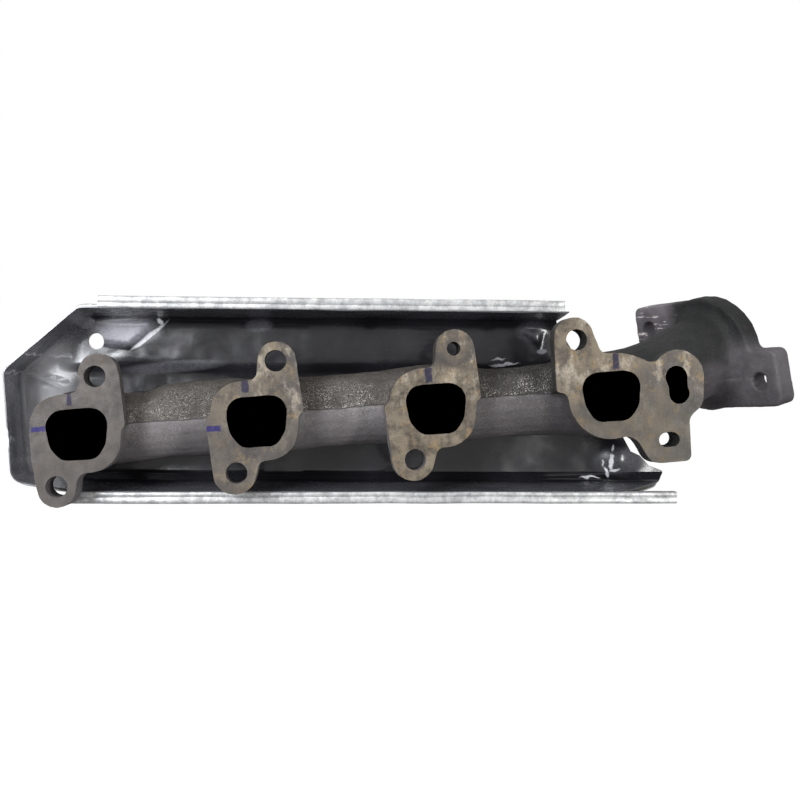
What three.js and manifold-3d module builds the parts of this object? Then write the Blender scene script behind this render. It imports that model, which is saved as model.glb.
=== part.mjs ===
// Exhaust manifold for one bank of a V8 engine: an iron log with four ports, a side slot for exhaust
// gas recirculation, an elbow to a two-bolt outlet flange, and a three-layer heat shield on its back.
// Millimetres. X runs along the row of ports, Y away from the cylinder head, Z up.
import * as THREE from "three";
import { mergeVertices } from "three/addons/utils/BufferGeometryUtils.js";
import Module from "manifold-3d";

const wasm = await Module();
wasm.setup();

// ---- Driving dimensions -------------------------------------------------------------------------

const PORT_PITCH = 113.3; // bore spacing of the engine
const PORT_X = [-1.5, -0.5, 0.5, 1.5].map((step) => step * PORT_PITCH);
const END_PORT_X = PORT_X[3];

const CORE_SHIFT = [1.2, -0.2, 0.3, 0.6]; // how far the cast ports lie off the machined pitch

const FLANGE_DEPTH = 18; // port flange, from its machined face at Y = 0
const LUG_DEPTH = 24; // bolt lugs stand a little deeper than the flange
const UPPER_LUG_RADIUS = 11.4;
const LOWER_LUG_RADIUS = 11.4;
const WALL = 5.5; // iron wall of the gas passages
const BOLT_HOLE_RADIUS = 6.8;
const LOCATING_HOLE_RADIUS = 4.4;

// The bolt and locating holes, from the centre of their own port.
const FIRST_HOLES = { upper: { x: 14.4, z: 35.2 }, lower: { x: -14, z: -32 } };
const UPPER_HOLE = { x: 13.8, z: 37.3 };
const LOWER_HOLE = { x: -15.5, z: -31.6 };
const END_UPPER_HOLE = { x: -20, z: 37.6 };
const END_LOWER_SLOT = { x: 36.2, z: -30.7, radius: 4.65, halfTravel: 2.15 };
const END_FOOT = { left: 22, bottom: -44, right: 49, top: -17, corner: 6 }; // carries the slotted hole

// The log: a tube along X that swells a little at each port.
const LOG_Y = 48;
const LOG_Z = 2.5;
const LOG_RADIUS = 23.4;
const LOG_SWELL = 2.2;
const LOG_GROWTH = 3; // towards the outlet
const LOG_LEFT = -200;
const LOG_RIGHT = 165;
const BORE_RADIUS = 18.5;

// The ends of the recirculation slot beside the last port, from that port's centre.
const SLOT_ENDS = [
  { x: 43.4, y: 9.4, r: 7.4 },
  { x: 44.6, y: -1.4, r: 7 },
];
const SLOT_WAIST = 0.8; // how much narrower the slot is between its ends

// The outlet: an elbow to an oblique flange. U points along the flange, V up it, N out with the gas.
const OUTLET_CENTRE = new THREE.Vector3(253.2, 68.2, 22.6); // middle of the flange's inner face
const OUTLET_AZIMUTH = 58.2; // degrees from +Y towards +X
const OUTLET_RISE = 8.2; // degrees upwards
const OUTLET_THICKNESS = 14;
const OUTLET_PIPE_RADIUS = 28;
const OUTLET_FILLET = 7;
const OUTLET_BORE_RADIUS = 22.5;
const OUTLET_DISC_RADIUS = 40;
const OUTLET_EAR = { nearReach: 60.8, farReach: 57.5, height: 38.5, corner: 6 };
const OUTLET_HOLE = { x: 45.1, y: 21, radius: 5.9 };

// The heat shield: a pan, open towards the head, that leans nose-down along the row.
const SHIELD_LEAN = 4.35; // degrees
const SHEET = 0.8;
const MAT = 2.2;
const GAP = 0.3; // clearance between pieces that touch
const RIM_Y = 29.7; // front of the inner skin's rim
const PANEL_Y = 84; // inner face of the back panel
const PANEL_BEND = 8; // bend radius between wall and panel
const WALL_DRAFT = 3;
const PAN_CORNER = 8; // corner radius at the rim
const PANEL_CORNER = 2; // and the least that it shrinks to at the panel
const PINCH_START = 4; // the outer skin leaves the inner one this far behind the rim
const PINCH_END = 14;
const RIM_SETBACK = 6; // of the outer skin behind the inner one, round the pan's left end
const RAIL_WIDTH = 8;
const PAN_TOP = 68;
const PAN_BOTTOM = -51.2;
const PAN_CORNERS = [
  [-215.5, -44],
  [-172, PAN_BOTTOM],
  [280, PAN_BOTTOM],
  [280, PAN_TOP],
  [-174, PAN_TOP],
  [-221, 27],
];
const LEFT_END = -172; // where the pan's slanting left end begins
const TOP_RAIL = [-161, 145];
const BOTTOM_RAIL = [-178, 222];

// The shield's four fixings, on bosses along the back of the log.
const FIXING_X = [-150, -50, 50, 148];
const BOSS_FACE_Y = 80;
const BOSS_RADIUS = 9;
const THREAD_RADIUS = 3; // M6
const SHIELD_HOLE_RADIUS = 8;
const SLEEVE_RADIUS = 5;
const FOOT_RADIUS = 8; // of the sleeve's flange
const FOOT_THICKNESS = 1.7;
const MESH_THICKNESS = 1.6;
const MESH_RIM_RADIUS = 11;
const WASHER_RADIUS = 10.5;
const WASHER_THICKNESS = 1.4;
const BOLT_BORE_RADIUS = THREAD_RADIUS + 0.4;
const BOLT_FLANGE_RADIUS = 6.8;
const BOLT_FLANGE_THICKNESS = 1.5;
const BOLT_HEAD_HEIGHT = 6;
const ACROSS_FLATS = 10;

// The drain hole, from the middle of the row.
const DRAIN_HOLE = { x: -167.3, z: 61, radius: 5.6 };

// The frame's origin: a point of the third port's machined face, between its bore and its locating hole.
const DATUM = new THREE.Vector3(PORT_X[2] + UPPER_HOLE.x, 0, 25.5);

// ---- Solids -------------------------------------------------------------------------------------

function solidOf(geometry) {
  const bare = geometry.clone();
  bare.deleteAttribute("uv");
  bare.deleteAttribute("normal");
  const merged = mergeVertices(bare, 1e-4);
  return new wasm.Manifold(
    new wasm.Mesh({
      numProp: 3,
      vertProperties: merged.attributes.position.array,
      triVerts: new Uint32Array(merged.index.array),
    }),
  );
}

function geometryOf(solid) {
  const mesh = solid.getMesh();
  const geometry = new THREE.BufferGeometry();
  geometry.setAttribute("position", new THREE.BufferAttribute(mesh.vertProperties, 3));
  geometry.setIndex(new THREE.BufferAttribute(mesh.triVerts, 1));
  const flat = geometry.toNonIndexed();
  flat.computeVertexNormals();
  return flat;
}

function join(...solids) {
  return solids.reduce((whole, next) => whole.add(next));
}

function cut(body, ...tools) {
  return tools.reduce((left, tool) => left.subtract(tool), body);
}

// ---- Outlines -----------------------------------------------------------------------------------

// The taut belt round a set of circles, given counter-clockwise.
function belt(circles) {
  const leaving = circles.map((circle, i) => {
    const next = circles[(i + 1) % circles.length];
    const run = Math.hypot(next.x - circle.x, next.y - circle.y);
    const heading = Math.atan2(next.y - circle.y, next.x - circle.x);
    return heading - Math.acos((circle.r - next.r) / run);
  });
  const shape = new THREE.Shape();
  circles.forEach((circle, i) => {
    const arriving = leaving[(i + circles.length - 1) % circles.length];
    shape.absarc(circle.x, circle.y, circle.r, arriving, leaving[i], false);
  });
  return shape;
}

// A rectangle with round corners, from its lower left to its upper right corner.
function roundedBox(left, bottom, right, top, r) {
  return belt([
    { x: left + r, y: top - r, r },
    { x: left + r, y: bottom + r, r },
    { x: right - r, y: bottom + r, r },
    { x: right - r, y: top - r, r },
  ]);
}

// A port: a D on its side, wider at the top, grown outwards by a margin.
function portOutline(margin = 0) {
  return belt([
    { x: -8.4, y: 5.1, r: 10.8 + margin },
    { x: -7.2, y: -2.8, r: 10.8 + margin },
    { x: -7, y: -8.3, r: 7.9 + margin },
    { x: 7, y: -8.3, r: 7.9 + margin },
    { x: 7.2, y: -2.8, r: 10.8 + margin },
    { x: 8.4, y: 5.1, r: 10.8 + margin },
  ]);
}

// The first port's flange: slimmer on its left and with its holes lower than its neighbours'.
function firstFlangeOutline() {
  const shape = new THREE.Shape();
  shape.moveTo(30.6, 3.4);
  shape.lineTo(30.6, 8.6);
  shape.absarc(16.6, 37.2, 12.4, 0, Math.PI, false);
  shape.lineTo(3.6, 28.4);
  shape.lineTo(0.5, 25.6);
  shape.absarc(-7, 4.2, 21.2, Math.PI / 2, Math.PI, false);
  shape.lineTo(-28.2, -14);
  shape.absarc(-13.9, -33, 12.2, Math.PI, 1.96 * Math.PI, false);
  shape.lineTo(-1, -28.4);
  shape.lineTo(1.8, -24.8);
  shape.absarc(7.6, -4.6, 20, -Math.PI / 2, 0, false);
  shape.lineTo(28, 2.2);
  return shape;
}

// A port flange: a ring round the port with one lug up on the right and one down on the left. The
// two halves of the mould meet a little above the port's centre and are offset from each other.
function flangeOutline() {
  const shape = new THREE.Shape();
  shape.moveTo(29.4, 4.6);
  shape.lineTo(26.8, 37.5);
  shape.absarc(14.5, 37.5, 12.3, 0, Math.PI, false);
  shape.lineTo(0.9, 26.6);
  shape.absarc(-9, 5.5, 20.6, Math.PI / 2, Math.PI, false);
  shape.lineTo(-32.6, 4);
  shape.absarc(-16.6, -31.5, 13.6, Math.PI, 1.95 * Math.PI, false);
  shape.lineTo(-0.6, -25);
  shape.absarc(6, -6, 19, -Math.PI / 2, 0, false);
  shape.lineTo(25.8, 3.2);
  return shape;
}

// The last flange: its upper lug is on the left, and it runs on to the recirculation slot on the
// right and to a broad foot below it.
function endFlangeOutline() {
  const shape = new THREE.Shape();
  shape.moveTo(61.2, 3.6);
  shape.lineTo(61.5, 10);
  shape.absarc(44.5, 10, 17, 0, 0.83 * Math.PI, false);
  shape.lineTo(27.6, 20.2);
  shape.absarc(1, -14, 42, 0.3 * Math.PI, 0.54 * Math.PI, false);
  shape.absarc(-21.6, 39.5, 12.9, 0.02 * Math.PI, Math.PI, false);
  shape.lineTo(-35.2, 4.5);
  shape.lineTo(-28.8, 4);
  shape.absarc(0, 0, 27.7, Math.PI, 1.5 * Math.PI, false);
  shape.lineTo(9, -26.6);
  shape.quadraticCurveTo(14.5, -27, 17.5, -33.5);
  shape.lineTo(20.5, -39.5);
  shape.quadraticCurveTo(23.5, -45.4, 29, -45.4);
  shape.absarc(46, -41.4, 4, -Math.PI / 2, 0, false);
  shape.lineTo(50.2, -20);
  shape.quadraticCurveTo(50.3, -16.6, 53, -14.8);
  shape.lineTo(57.5, -11.4);
  shape.quadraticCurveTo(60.8, -8, 60.8, -2);
  return shape;
}

// ---- Building blocks ----------------------------------------------------------------------------

// A slab with the outline in X and Z, between two planes of constant Y.
function slab(outline, centreX, nearY, farY, curveSegments = 4) {
  const depth = farY - nearY;
  const geometry = new THREE.ExtrudeGeometry(outline, { depth, curveSegments, bevelEnabled: false });
  geometry.rotateX(Math.PI / 2);
  geometry.translate(centreX, farY, 0);
  return solidOf(geometry);
}

// A round bar along Y.
function barY(x, z, radius, nearY, farY, segments = 20) {
  const geometry = new THREE.CylinderGeometry(radius, radius, farY - nearY, segments);
  geometry.translate(x, (nearY + farY) / 2, z);
  return solidOf(geometry);
}

// A solid of revolution about Y through a point, from a profile of [radius, y] pairs.
function turned(x, z, profile, segments = 16) {
  const points = profile.map(([radius, y]) => new THREE.Vector2(radius, y));
  const geometry = new THREE.LatheGeometry(points, segments);
  geometry.translate(x, 0, z);
  return solidOf(geometry);
}

// ---- The casting --------------------------------------------------------------------------------

function logRadius(x) {
  const swell = PORT_X.reduce((sum, port) => sum + Math.exp(-(((x - port) / 24) ** 2)), 0);
  const growth = THREE.MathUtils.smoothstep(x, PORT_X[1], END_PORT_X);
  return LOG_RADIUS + LOG_SWELL * swell + LOG_GROWTH * growth;
}

// The log's outside: a lathe along X with a domed left end.
function logBody() {
  const stations = 15;
  const dome = 22;
  const points = [new THREE.Vector2(0, LOG_LEFT)];
  for (const angle of [20, 40, 60, 75]) {
    const turn = THREE.MathUtils.degToRad(angle);
    const x = LOG_LEFT + dome * (1 - Math.cos(turn));
    points.push(new THREE.Vector2(logRadius(LOG_LEFT + dome) * Math.sin(turn), x));
  }
  for (let i = 0; i <= stations; i++) {
    const x = THREE.MathUtils.lerp(LOG_LEFT + dome, LOG_RIGHT, i / stations);
    points.push(new THREE.Vector2(logRadius(x), x));
  }
  points.push(new THREE.Vector2(0, LOG_RIGHT));
  const geometry = new THREE.LatheGeometry(points, 24);
  geometry.rotateZ(-Math.PI / 2);
  geometry.translate(0, LOG_Y, LOG_Z);
  return solidOf(geometry);
}

function logBore() {
  const left = LOG_LEFT + WALL + 2;
  const geometry = new THREE.CylinderGeometry(BORE_RADIUS, BORE_RADIUS, LOG_RIGHT - left, 24);
  geometry.rotateZ(-Math.PI / 2);
  geometry.translate((left + LOG_RIGHT) / 2, LOG_Y, LOG_Z);
  return solidOf(geometry);
}

const azimuth = THREE.MathUtils.degToRad(OUTLET_AZIMUTH);
const rise = THREE.MathUtils.degToRad(OUTLET_RISE);
const outletNormal = new THREE.Vector3(
  Math.sin(azimuth) * Math.cos(rise),
  Math.cos(azimuth) * Math.cos(rise),
  Math.sin(rise),
);
const outletAlong = new THREE.Vector3(-Math.cos(azimuth), Math.sin(azimuth), 0);
const outletUp = new THREE.Vector3().crossVectors(outletNormal, outletAlong);
const outletFrame = new THREE.Matrix4()
  .makeBasis(outletAlong, outletUp, outletNormal)
  .setPosition(OUTLET_CENTRE);

// The gas path from the log's end to the outlet, running on past the flange by some margin.
function elbowPath(margin) {
  const start = new THREE.Vector3(LOG_RIGHT - 15, LOG_Y, LOG_Z);
  const leave = start.clone().add(new THREE.Vector3(55, 0, -6));
  const approach = OUTLET_CENTRE.clone().addScaledVector(outletNormal, -38).setZ(13);
  const end = OUTLET_CENTRE.clone().addScaledVector(outletNormal, margin);
  return new THREE.CubicBezierCurve3(start, leave, approach, end);
}

function elbow(radius, margin) {
  const section = new THREE.Shape().absarc(0, 0, radius, 0, 2 * Math.PI, false);
  const geometry = new THREE.ExtrudeGeometry(section, {
    extrudePath: elbowPath(margin),
    steps: 9,
    curveSegments: 12,
    bevelEnabled: false,
  });
  return solidOf(geometry);
}

// A slab in the outlet's own frame, between two distances along the gas.
function outletSlab(outline, near, far, curveSegments = 5) {
  const depth = far - near;
  const geometry = new THREE.ExtrudeGeometry(outline, { depth, curveSegments, bevelEnabled: false });
  geometry.translate(0, 0, near);
  geometry.applyMatrix4(outletFrame);
  return solidOf(geometry);
}

function circle(x, y, radius) {
  return new THREE.Shape().absarc(x, y, radius, 0, 2 * Math.PI, false);
}

// The outlet flange: a disc with one ear low at the near end and one high at the far end.
function outletFlange() {
  const { nearReach, farReach, height, corner } = OUTLET_EAR;
  return join(
    outletSlab(circle(0, 0, OUTLET_DISC_RADIUS), 0, OUTLET_THICKNESS, 14),
    outletSlab(roundedBox(-nearReach, -height, 0, 0, corner), 0, OUTLET_THICKNESS),
    outletSlab(roundedBox(0, 0, farReach, height, corner), 0, OUTLET_THICKNESS),
  );
}

// The fillet between the elbow and the back of its flange, as a flared ring.
function outletFillet() {
  const points = [new THREE.Vector2(0, -OUTLET_FILLET)];
  for (let step = 0; step <= 3; step++) {
    const turn = (step / 3) * (Math.PI / 2);
    const r = OUTLET_PIPE_RADIUS + OUTLET_FILLET * (1 - Math.cos(turn));
    points.push(new THREE.Vector2(r - 0.5, -OUTLET_FILLET * (1 - Math.sin(turn))));
  }
  points.push(new THREE.Vector2(0, 1));
  const geometry = new THREE.LatheGeometry(points, 24);
  geometry.rotateX(Math.PI / 2);
  geometry.applyMatrix4(outletFrame);
  return solidOf(geometry);
}

// The bolt or locating holes of one of the first three flanges.
function flangeHoles(i) {
  return i === 0 ? FIRST_HOLES : { upper: UPPER_HOLE, lower: LOWER_HOLE };
}

function lug(portX, hole, radius) {
  return barY(portX + hole.x, hole.z, radius, FLANGE_DEPTH - 1, LUG_DEPTH);
}

// One of the first three ports: its flange, lugs and the neck that leads into the log.
function portOutside(x, i) {
  const { upper, lower } = flangeHoles(i);
  return join(
    slab(i === 0 ? firstFlangeOutline() : flangeOutline(), x, 0, FLANGE_DEPTH),
    lug(x, upper, UPPER_LUG_RADIUS),
    lug(x, lower, LOWER_LUG_RADIUS),
    slab(portOutline(WALL + 1), x, FLANGE_DEPTH - 1, LOG_Y, 2),
  );
}

function endPortOutside(x) {
  const { left, bottom, right, top, corner } = END_FOOT;
  const slotNeck = belt(SLOT_ENDS.map((end) => ({ ...end, r: end.r + WALL })));
  return join(
    slab(endFlangeOutline(), x, 0, FLANGE_DEPTH),
    lug(x, END_UPPER_HOLE, UPPER_LUG_RADIUS),
    slab(roundedBox(left, bottom, right, top, corner), x, FLANGE_DEPTH - 1, LUG_DEPTH),
    slab(portOutline(WALL + 1), x, FLANGE_DEPTH - 1, LOG_Y, 2),
    slab(slotNeck, x, FLANGE_DEPTH - 1, LOG_Y - 4, 3),
  );
}

function boltHoles() {
  const past = 1;
  const holes = PORT_X.slice(0, 3).flatMap((x, i) => {
    const { upper, lower } = flangeHoles(i);
    const upperRadius = i === 2 ? LOCATING_HOLE_RADIUS : BOLT_HOLE_RADIUS;
    return [
      barY(x + upper.x, upper.z, upperRadius, -past, LUG_DEPTH + past),
      barY(x + lower.x, lower.z, BOLT_HOLE_RADIUS, -past, LUG_DEPTH + past),
    ];
  });
  const { x: slotX, z: slotZ, radius, halfTravel } = END_LOWER_SLOT;
  const slot = belt([
    { x: slotX - halfTravel, y: slotZ, r: radius },
    { x: slotX + halfTravel, y: slotZ, r: radius },
  ]);
  const endX = END_PORT_X + END_UPPER_HOLE.x;
  return join(
    ...holes,
    barY(endX, END_UPPER_HOLE.z, BOLT_HOLE_RADIUS, -past, LUG_DEPTH + past),
    slab(slot, END_PORT_X, -past, LUG_DEPTH + past),
    ...[1, -1].map((side) =>
      outletSlab(circle(side * OUTLET_HOLE.x, side * OUTLET_HOLE.y, OUTLET_HOLE.radius), -past, 20),
    ),
  );
}

// Every passage that the gas uses: the ports, the log's bore, the elbow's and the side slot's.
function gasPassages() {
  const mouth = -1;
  return join(
    ...PORT_X.map((x, i) => slab(portOutline(), x + CORE_SHIFT[i], mouth, LOG_Y, 3)),
    slab(belt(SLOT_ENDS.map((end) => ({ ...end, r: end.r - SLOT_WAIST }))), END_PORT_X, mouth, LOG_Y),
    ...SLOT_ENDS.map((end) => barY(END_PORT_X + end.x, end.y, end.r, mouth, LOG_Y, 16)),
    logBore(),
    elbow(OUTLET_BORE_RADIUS, OUTLET_THICKNESS + 2),
  );
}

function shieldBosses() {
  return join(...FIXING_X.map((x) => barY(x, LOG_Z, BOSS_RADIUS, LOG_Y + LOG_RADIUS - 3, BOSS_FACE_Y)));
}

function shieldThreads() {
  const holeFloor = LOG_Y + BORE_RADIUS + 2.5;
  const radius = THREAD_RADIUS + GAP;
  return join(...FIXING_X.map((x) => barY(x, LOG_Z, radius, holeFloor, BOSS_FACE_Y + 1)));
}

function castingSolid() {
  const outside = join(
    ...PORT_X.slice(0, 3).map(portOutside),
    endPortOutside(END_PORT_X),
    logBody(),
    elbow(OUTLET_PIPE_RADIUS, 2),
    outletFillet(),
    outletFlange(),
    shieldBosses(),
  );
  return cut(outside, gasPassages(), boltHoles(), shieldThreads());
}

// ---- The heat shield, in its own leaning frame --------------------------------------------------

const shieldFrame = new THREE.Matrix4().makeRotationY(THREE.MathUtils.degToRad(SHIELD_LEAN));
const shieldFrameBack = shieldFrame.clone().invert();

// The pan's outline, moved inwards by an inset and with its corners rounded: a ring of points.
function panRing(inset, y) {
  const corners = PAN_CORNERS.map(([x, z]) => new THREE.Vector2(x, z));
  const radius = Math.max(PAN_CORNER - inset, PANEL_CORNER);
  const ring = [];
  corners.forEach((corner, i) => {
    const before = corners[(i + corners.length - 1) % corners.length];
    const after = corners[(i + 1) % corners.length];
    const inward = corner.clone().sub(before).normalize();
    const outward = after.clone().sub(corner).normalize();
    const halfTurn = Math.acos(inward.dot(outward)) / 2;
    const bisector = outward.clone().sub(inward).normalize();
    const centre = corner.clone().addScaledVector(bisector, (inset + radius) / Math.cos(halfTurn));
    const middle = bisector.clone().negate();
    for (let step = -2; step <= 2; step++) {
      const spoke = middle.clone().rotateAround(new THREE.Vector2(), (step / 2) * halfTurn);
      const point = centre.clone().addScaledVector(spoke, radius);
      ring.push(new THREE.Vector3(point.x, y, point.y));
    }
  });
  return ring;
}

// A closed solid through rings of equal length, given from the front to the back.
function loft(rings) {
  const count = rings[0].length;
  const last = (rings.length - 1) * count;
  const index = [];
  for (let i = 0; i < count; i++) {
    const j = (i + 1) % count;
    for (let start = 0; start < last; start += count) {
      index.push(start + i, start + count + i, start + j);
      index.push(start + j, start + count + i, start + count + j);
    }
    if (i > 0 && j > 0) {
      index.push(0, i, j);
      index.push(last, last + j, last + i);
    }
  }
  const geometry = new THREE.BufferGeometry().setFromPoints(rings.flat());
  geometry.setIndex(index);
  return solidOf(geometry);
}

// The space inside the pan, grown outwards by a margin, from a front plane to the back panel. The
// margin may be smaller along the rim, where the layers are pinched together.
function panSolid(margin, frontY, rimMargin = margin) {
  const draft = WALL_DRAFT / (PANEL_Y - PANEL_BEND - RIM_Y);
  const wallRing = (y, grown) => panRing(draft * (y - RIM_Y) - grown, y);
  const rings = [wallRing(frontY, rimMargin)];
  if (rimMargin !== margin) {
    rings.push(wallRing(RIM_Y + PINCH_START, rimMargin), wallRing(RIM_Y + PINCH_END, margin));
  }
  const bend = PANEL_BEND + margin;
  for (const angle of [0, 30, 60, 90]) {
    const turn = THREE.MathUtils.degToRad(angle);
    const inset = WALL_DRAFT - margin + bend * (1 - Math.cos(turn));
    rings.push(panRing(inset, PANEL_Y - PANEL_BEND + bend * Math.sin(turn)));
  }
  return loft(rings);
}

// A strip with the section in Y and Z, along the shield's length.
function strip(section, from, to) {
  const depth = to - from;
  const geometry = new THREE.ExtrudeGeometry(section, { depth, curveSegments: 3, bevelEnabled: false });
  geometry.applyMatrix4(
    new THREE.Matrix4().makeBasis(
      new THREE.Vector3(0, 1, 0),
      new THREE.Vector3(0, 0, 1),
      new THREE.Vector3(1, 0, 0),
    ),
  );
  geometry.translate(from, 0, 0);
  return solidOf(geometry);
}

// The inner skin's flat rim beyond one edge of the pan. Side is +1 at the top and -1 at the bottom.
function innerRim(edge, side) {
  const shape = new THREE.Shape();
  shape.moveTo(RIM_Y, edge - side * 0.1);
  shape.lineTo(RIM_Y + SHEET, edge - side * 0.1);
  shape.lineTo(RIM_Y + SHEET, edge + side * (RAIL_WIDTH - 1));
  shape.lineTo(RIM_Y, edge + side * (RAIL_WIDTH - 1));
  return shape;
}

// The outer skin's rim, folded forwards over the inner skin's as a hem.
function outerHem(edge, side) {
  const backY = RIM_Y + 2 * SHEET + GAP;
  const frontY = RIM_Y - SHEET - GAP;
  const outer = (backY - frontY) / 2;
  const middleY = (backY + frontY) / 2;
  const root = edge + side * (SHEET + GAP + 0.1);
  const fold = edge + side * (RAIL_WIDTH - outer);
  const lip = edge + side * 0.4;
  const quarter = (side * Math.PI) / 2;
  const shape = new THREE.Shape();
  shape.moveTo(backY, root);
  shape.lineTo(backY, fold);
  shape.absarc(middleY, fold, outer, 0, 2 * quarter, side < 0);
  shape.lineTo(frontY, lip);
  shape.lineTo(frontY + SHEET, lip);
  shape.lineTo(frontY + SHEET, fold);
  shape.absarc(middleY, fold, outer - SHEET, 2 * quarter, 0, side > 0);
  shape.lineTo(backY - SHEET, root);
  return shape;
}

function rails(section) {
  return join(
    strip(section(PAN_TOP, 1), ...TOP_RAIL),
    strip(section(PAN_BOTTOM, -1), ...BOTTOM_RAIL),
  );
}

// Everything right of the pan's slanting right-hand edge, drawn back by a margin. The bottom wall
// is cut back further towards its rim.
function rightTrim(margin) {
  const polygon = (points) => new THREE.Shape(points.map(([x, y]) => new THREE.Vector2(x, y)));
  const panel = polygon([
    [148, 90],
    [148, 66],
    [201, -17],
    [218, -37],
    [228, -41],
    [228, -90],
    [320, -90],
    [320, 90],
  ]);
  const wall = polygon([
    [221.5, -RIM_Y + 5],
    [221.5, -RIM_Y - 3],
    [190, -RIM_Y - 3],
    [228, -PANEL_Y],
    [320, -PANEL_Y],
    [320, -RIM_Y + 5],
  ]);
  const geometry = new THREE.ExtrudeGeometry(wall, { depth: 30, bevelEnabled: false });
  geometry.rotateX(Math.PI);
  geometry.translate(-margin, 0, PAN_BOTTOM + 10);
  return join(slab(panel, -margin, 0, 120), solidOf(geometry));
}

// The holes that all three layers share: one for each fixing and one drain hole at the upper left.
function shieldHoles() {
  const fixings = FIXING_X.map((x) => ({ x, z: LOG_Z, radius: SHIELD_HOLE_RADIUS }));
  const holes = [...fixings, DRAIN_HOLE].map((hole) => {
    const { x, z } = new THREE.Vector3(hole.x, 0, hole.z).applyMatrix4(shieldFrameBack);
    return barY(x, z, hole.radius, PANEL_Y - 10, PANEL_Y + 20);
  });
  return join(...holes);
}

function shieldLayer(margin, thickness, frontY, trimMargin, rimMargin = margin) {
  const shell = cut(
    panSolid(margin + thickness, frontY, rimMargin + thickness),
    panSolid(margin, frontY - 5, rimMargin),
  );
  return cut(shell, rightTrim(trimMargin), shieldHoles());
}

function innerSkin() {
  return join(shieldLayer(0, SHEET, RIM_Y, 0), rails(innerRim));
}

function insulationMat() {
  return shieldLayer(SHEET + GAP, MAT, RIM_Y + PINCH_END + 1, 2);
}

function outerSkin() {
  const margin = SHEET + MAT + 2 * GAP;
  const layer = shieldLayer(margin, SHEET, RIM_Y + SHEET + GAP, 0, SHEET + GAP);
  const leftEnd = roundedBox(-240, -70, LEFT_END, 80, 1);
  return join(cut(layer, slab(leftEnd, 0, RIM_Y - 1, RIM_Y + RIM_SETBACK, 1)), rails(outerHem));
}

// ---- The fixings --------------------------------------------------------------------------------

// The levels of the stack along Y.
const SLEEVE_FOOT = BOSS_FACE_Y + GAP;
const FOOT_TOP = SLEEVE_FOOT + FOOT_THICKNESS;
const SHIELD_BACK_Y = PANEL_Y + 2 * SHEET + MAT + 2 * GAP;
const MESH_TOP = SHIELD_BACK_Y + GAP + MESH_THICKNESS;
const SLEEVE_TOP = MESH_TOP + 2 * GAP;
const WASHER_TOP = SLEEVE_TOP + GAP + WASHER_THICKNESS;
const HEAD_SEAT = WASHER_TOP + GAP;

// A flanged sleeve that stands on the boss and keeps the bolt from crushing the mesh.
function sleeve(x) {
  return turned(x, LOG_Z, [
    [BOLT_BORE_RADIUS, SLEEVE_FOOT],
    [FOOT_RADIUS, SLEEVE_FOOT],
    [FOOT_RADIUS, FOOT_TOP],
    [SLEEVE_RADIUS, FOOT_TOP],
    [SLEEVE_RADIUS, SLEEVE_TOP],
    [BOLT_BORE_RADIUS, SLEEVE_TOP],
    [BOLT_BORE_RADIUS, SLEEVE_FOOT],
  ]);
}

// A knitted wire ring, H-shaped in section, that grips the edge of the shield's hole.
function meshRing(x) {
  const bore = SLEEVE_RADIUS + GAP;
  const foot = FOOT_TOP + GAP;
  const waist = SHIELD_HOLE_RADIUS - 0.4;
  return turned(x, LOG_Z, [
    [bore, foot],
    [MESH_RIM_RADIUS, foot],
    [MESH_RIM_RADIUS, PANEL_Y - GAP],
    [waist, PANEL_Y - GAP],
    [waist, SHIELD_BACK_Y + GAP],
    [MESH_RIM_RADIUS, SHIELD_BACK_Y + GAP],
    [MESH_RIM_RADIUS, MESH_TOP],
    [bore, MESH_TOP],
    [bore, foot],
  ]);
}

function washer(x) {
  return turned(x, LOG_Z, [
    [BOLT_BORE_RADIUS, SLEEVE_TOP + GAP],
    [WASHER_RADIUS, SLEEVE_TOP + GAP],
    [WASHER_RADIUS, WASHER_TOP],
    [BOLT_BORE_RADIUS, WASHER_TOP],
    [BOLT_BORE_RADIUS, SLEEVE_TOP + GAP],
  ]);
}

// A hexagon bolt with a flanged head.
function bolt(x) {
  const tip = LOG_Y + BORE_RADIUS + 3.5;
  return join(
    barY(x, LOG_Z, THREAD_RADIUS, tip, HEAD_SEAT + 1, 16),
    barY(x, LOG_Z, BOLT_FLANGE_RADIUS, HEAD_SEAT, HEAD_SEAT + BOLT_FLANGE_THICKNESS),
    barY(x, LOG_Z, ACROSS_FLATS / Math.sqrt(3), HEAD_SEAT + 1, HEAD_SEAT + BOLT_HEAD_HEIGHT, 6),
  );
}

// ---- Materials and assembly ---------------------------------------------------------------------

const castIron = { color: 0x4f4b48, roughness: 0.85, metalness: 0.5 };
const blackSheet = { color: 0x2b2b30, roughness: 0.35, metalness: 0.7 };
const brightSheet = { color: 0xc9ccd0, roughness: 0.4, metalness: 0.9 };
const glassFibre = { color: 0xd8d2c0, roughness: 1, metalness: 0 };
const zincSteel = { color: 0xb4b2a6, roughness: 0.45, metalness: 0.9 };
const wireMesh = { color: 0x8d8a84, roughness: 0.8, metalness: 0.8 };

const manifold = new THREE.Group();

function place(name, solid, look, frame) {
  const mesh = new THREE.Mesh(geometryOf(solid), new THREE.MeshStandardMaterial(look));
  mesh.name = name;
  if (frame) mesh.applyMatrix4(frame);
  manifold.add(mesh);
}

place("manifold_casting", castingSolid(), castIron);
place("shield_inner_skin", innerSkin(), blackSheet, shieldFrame);
place("shield_insulation", insulationMat(), glassFibre, shieldFrame);
place("shield_outer_skin", outerSkin(), brightSheet, shieldFrame);
FIXING_X.forEach((x, i) => {
  place(`shield_sleeve_${i + 1}`, sleeve(x), zincSteel);
  place(`shield_mesh_ring_${i + 1}`, meshRing(x), wireMesh);
  place(`shield_washer_${i + 1}`, washer(x), zincSteel);
  place(`shield_bolt_${i + 1}`, bolt(x), zincSteel);
});
manifold.position.copy(DATUM).negate();

export default manifold;
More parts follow.
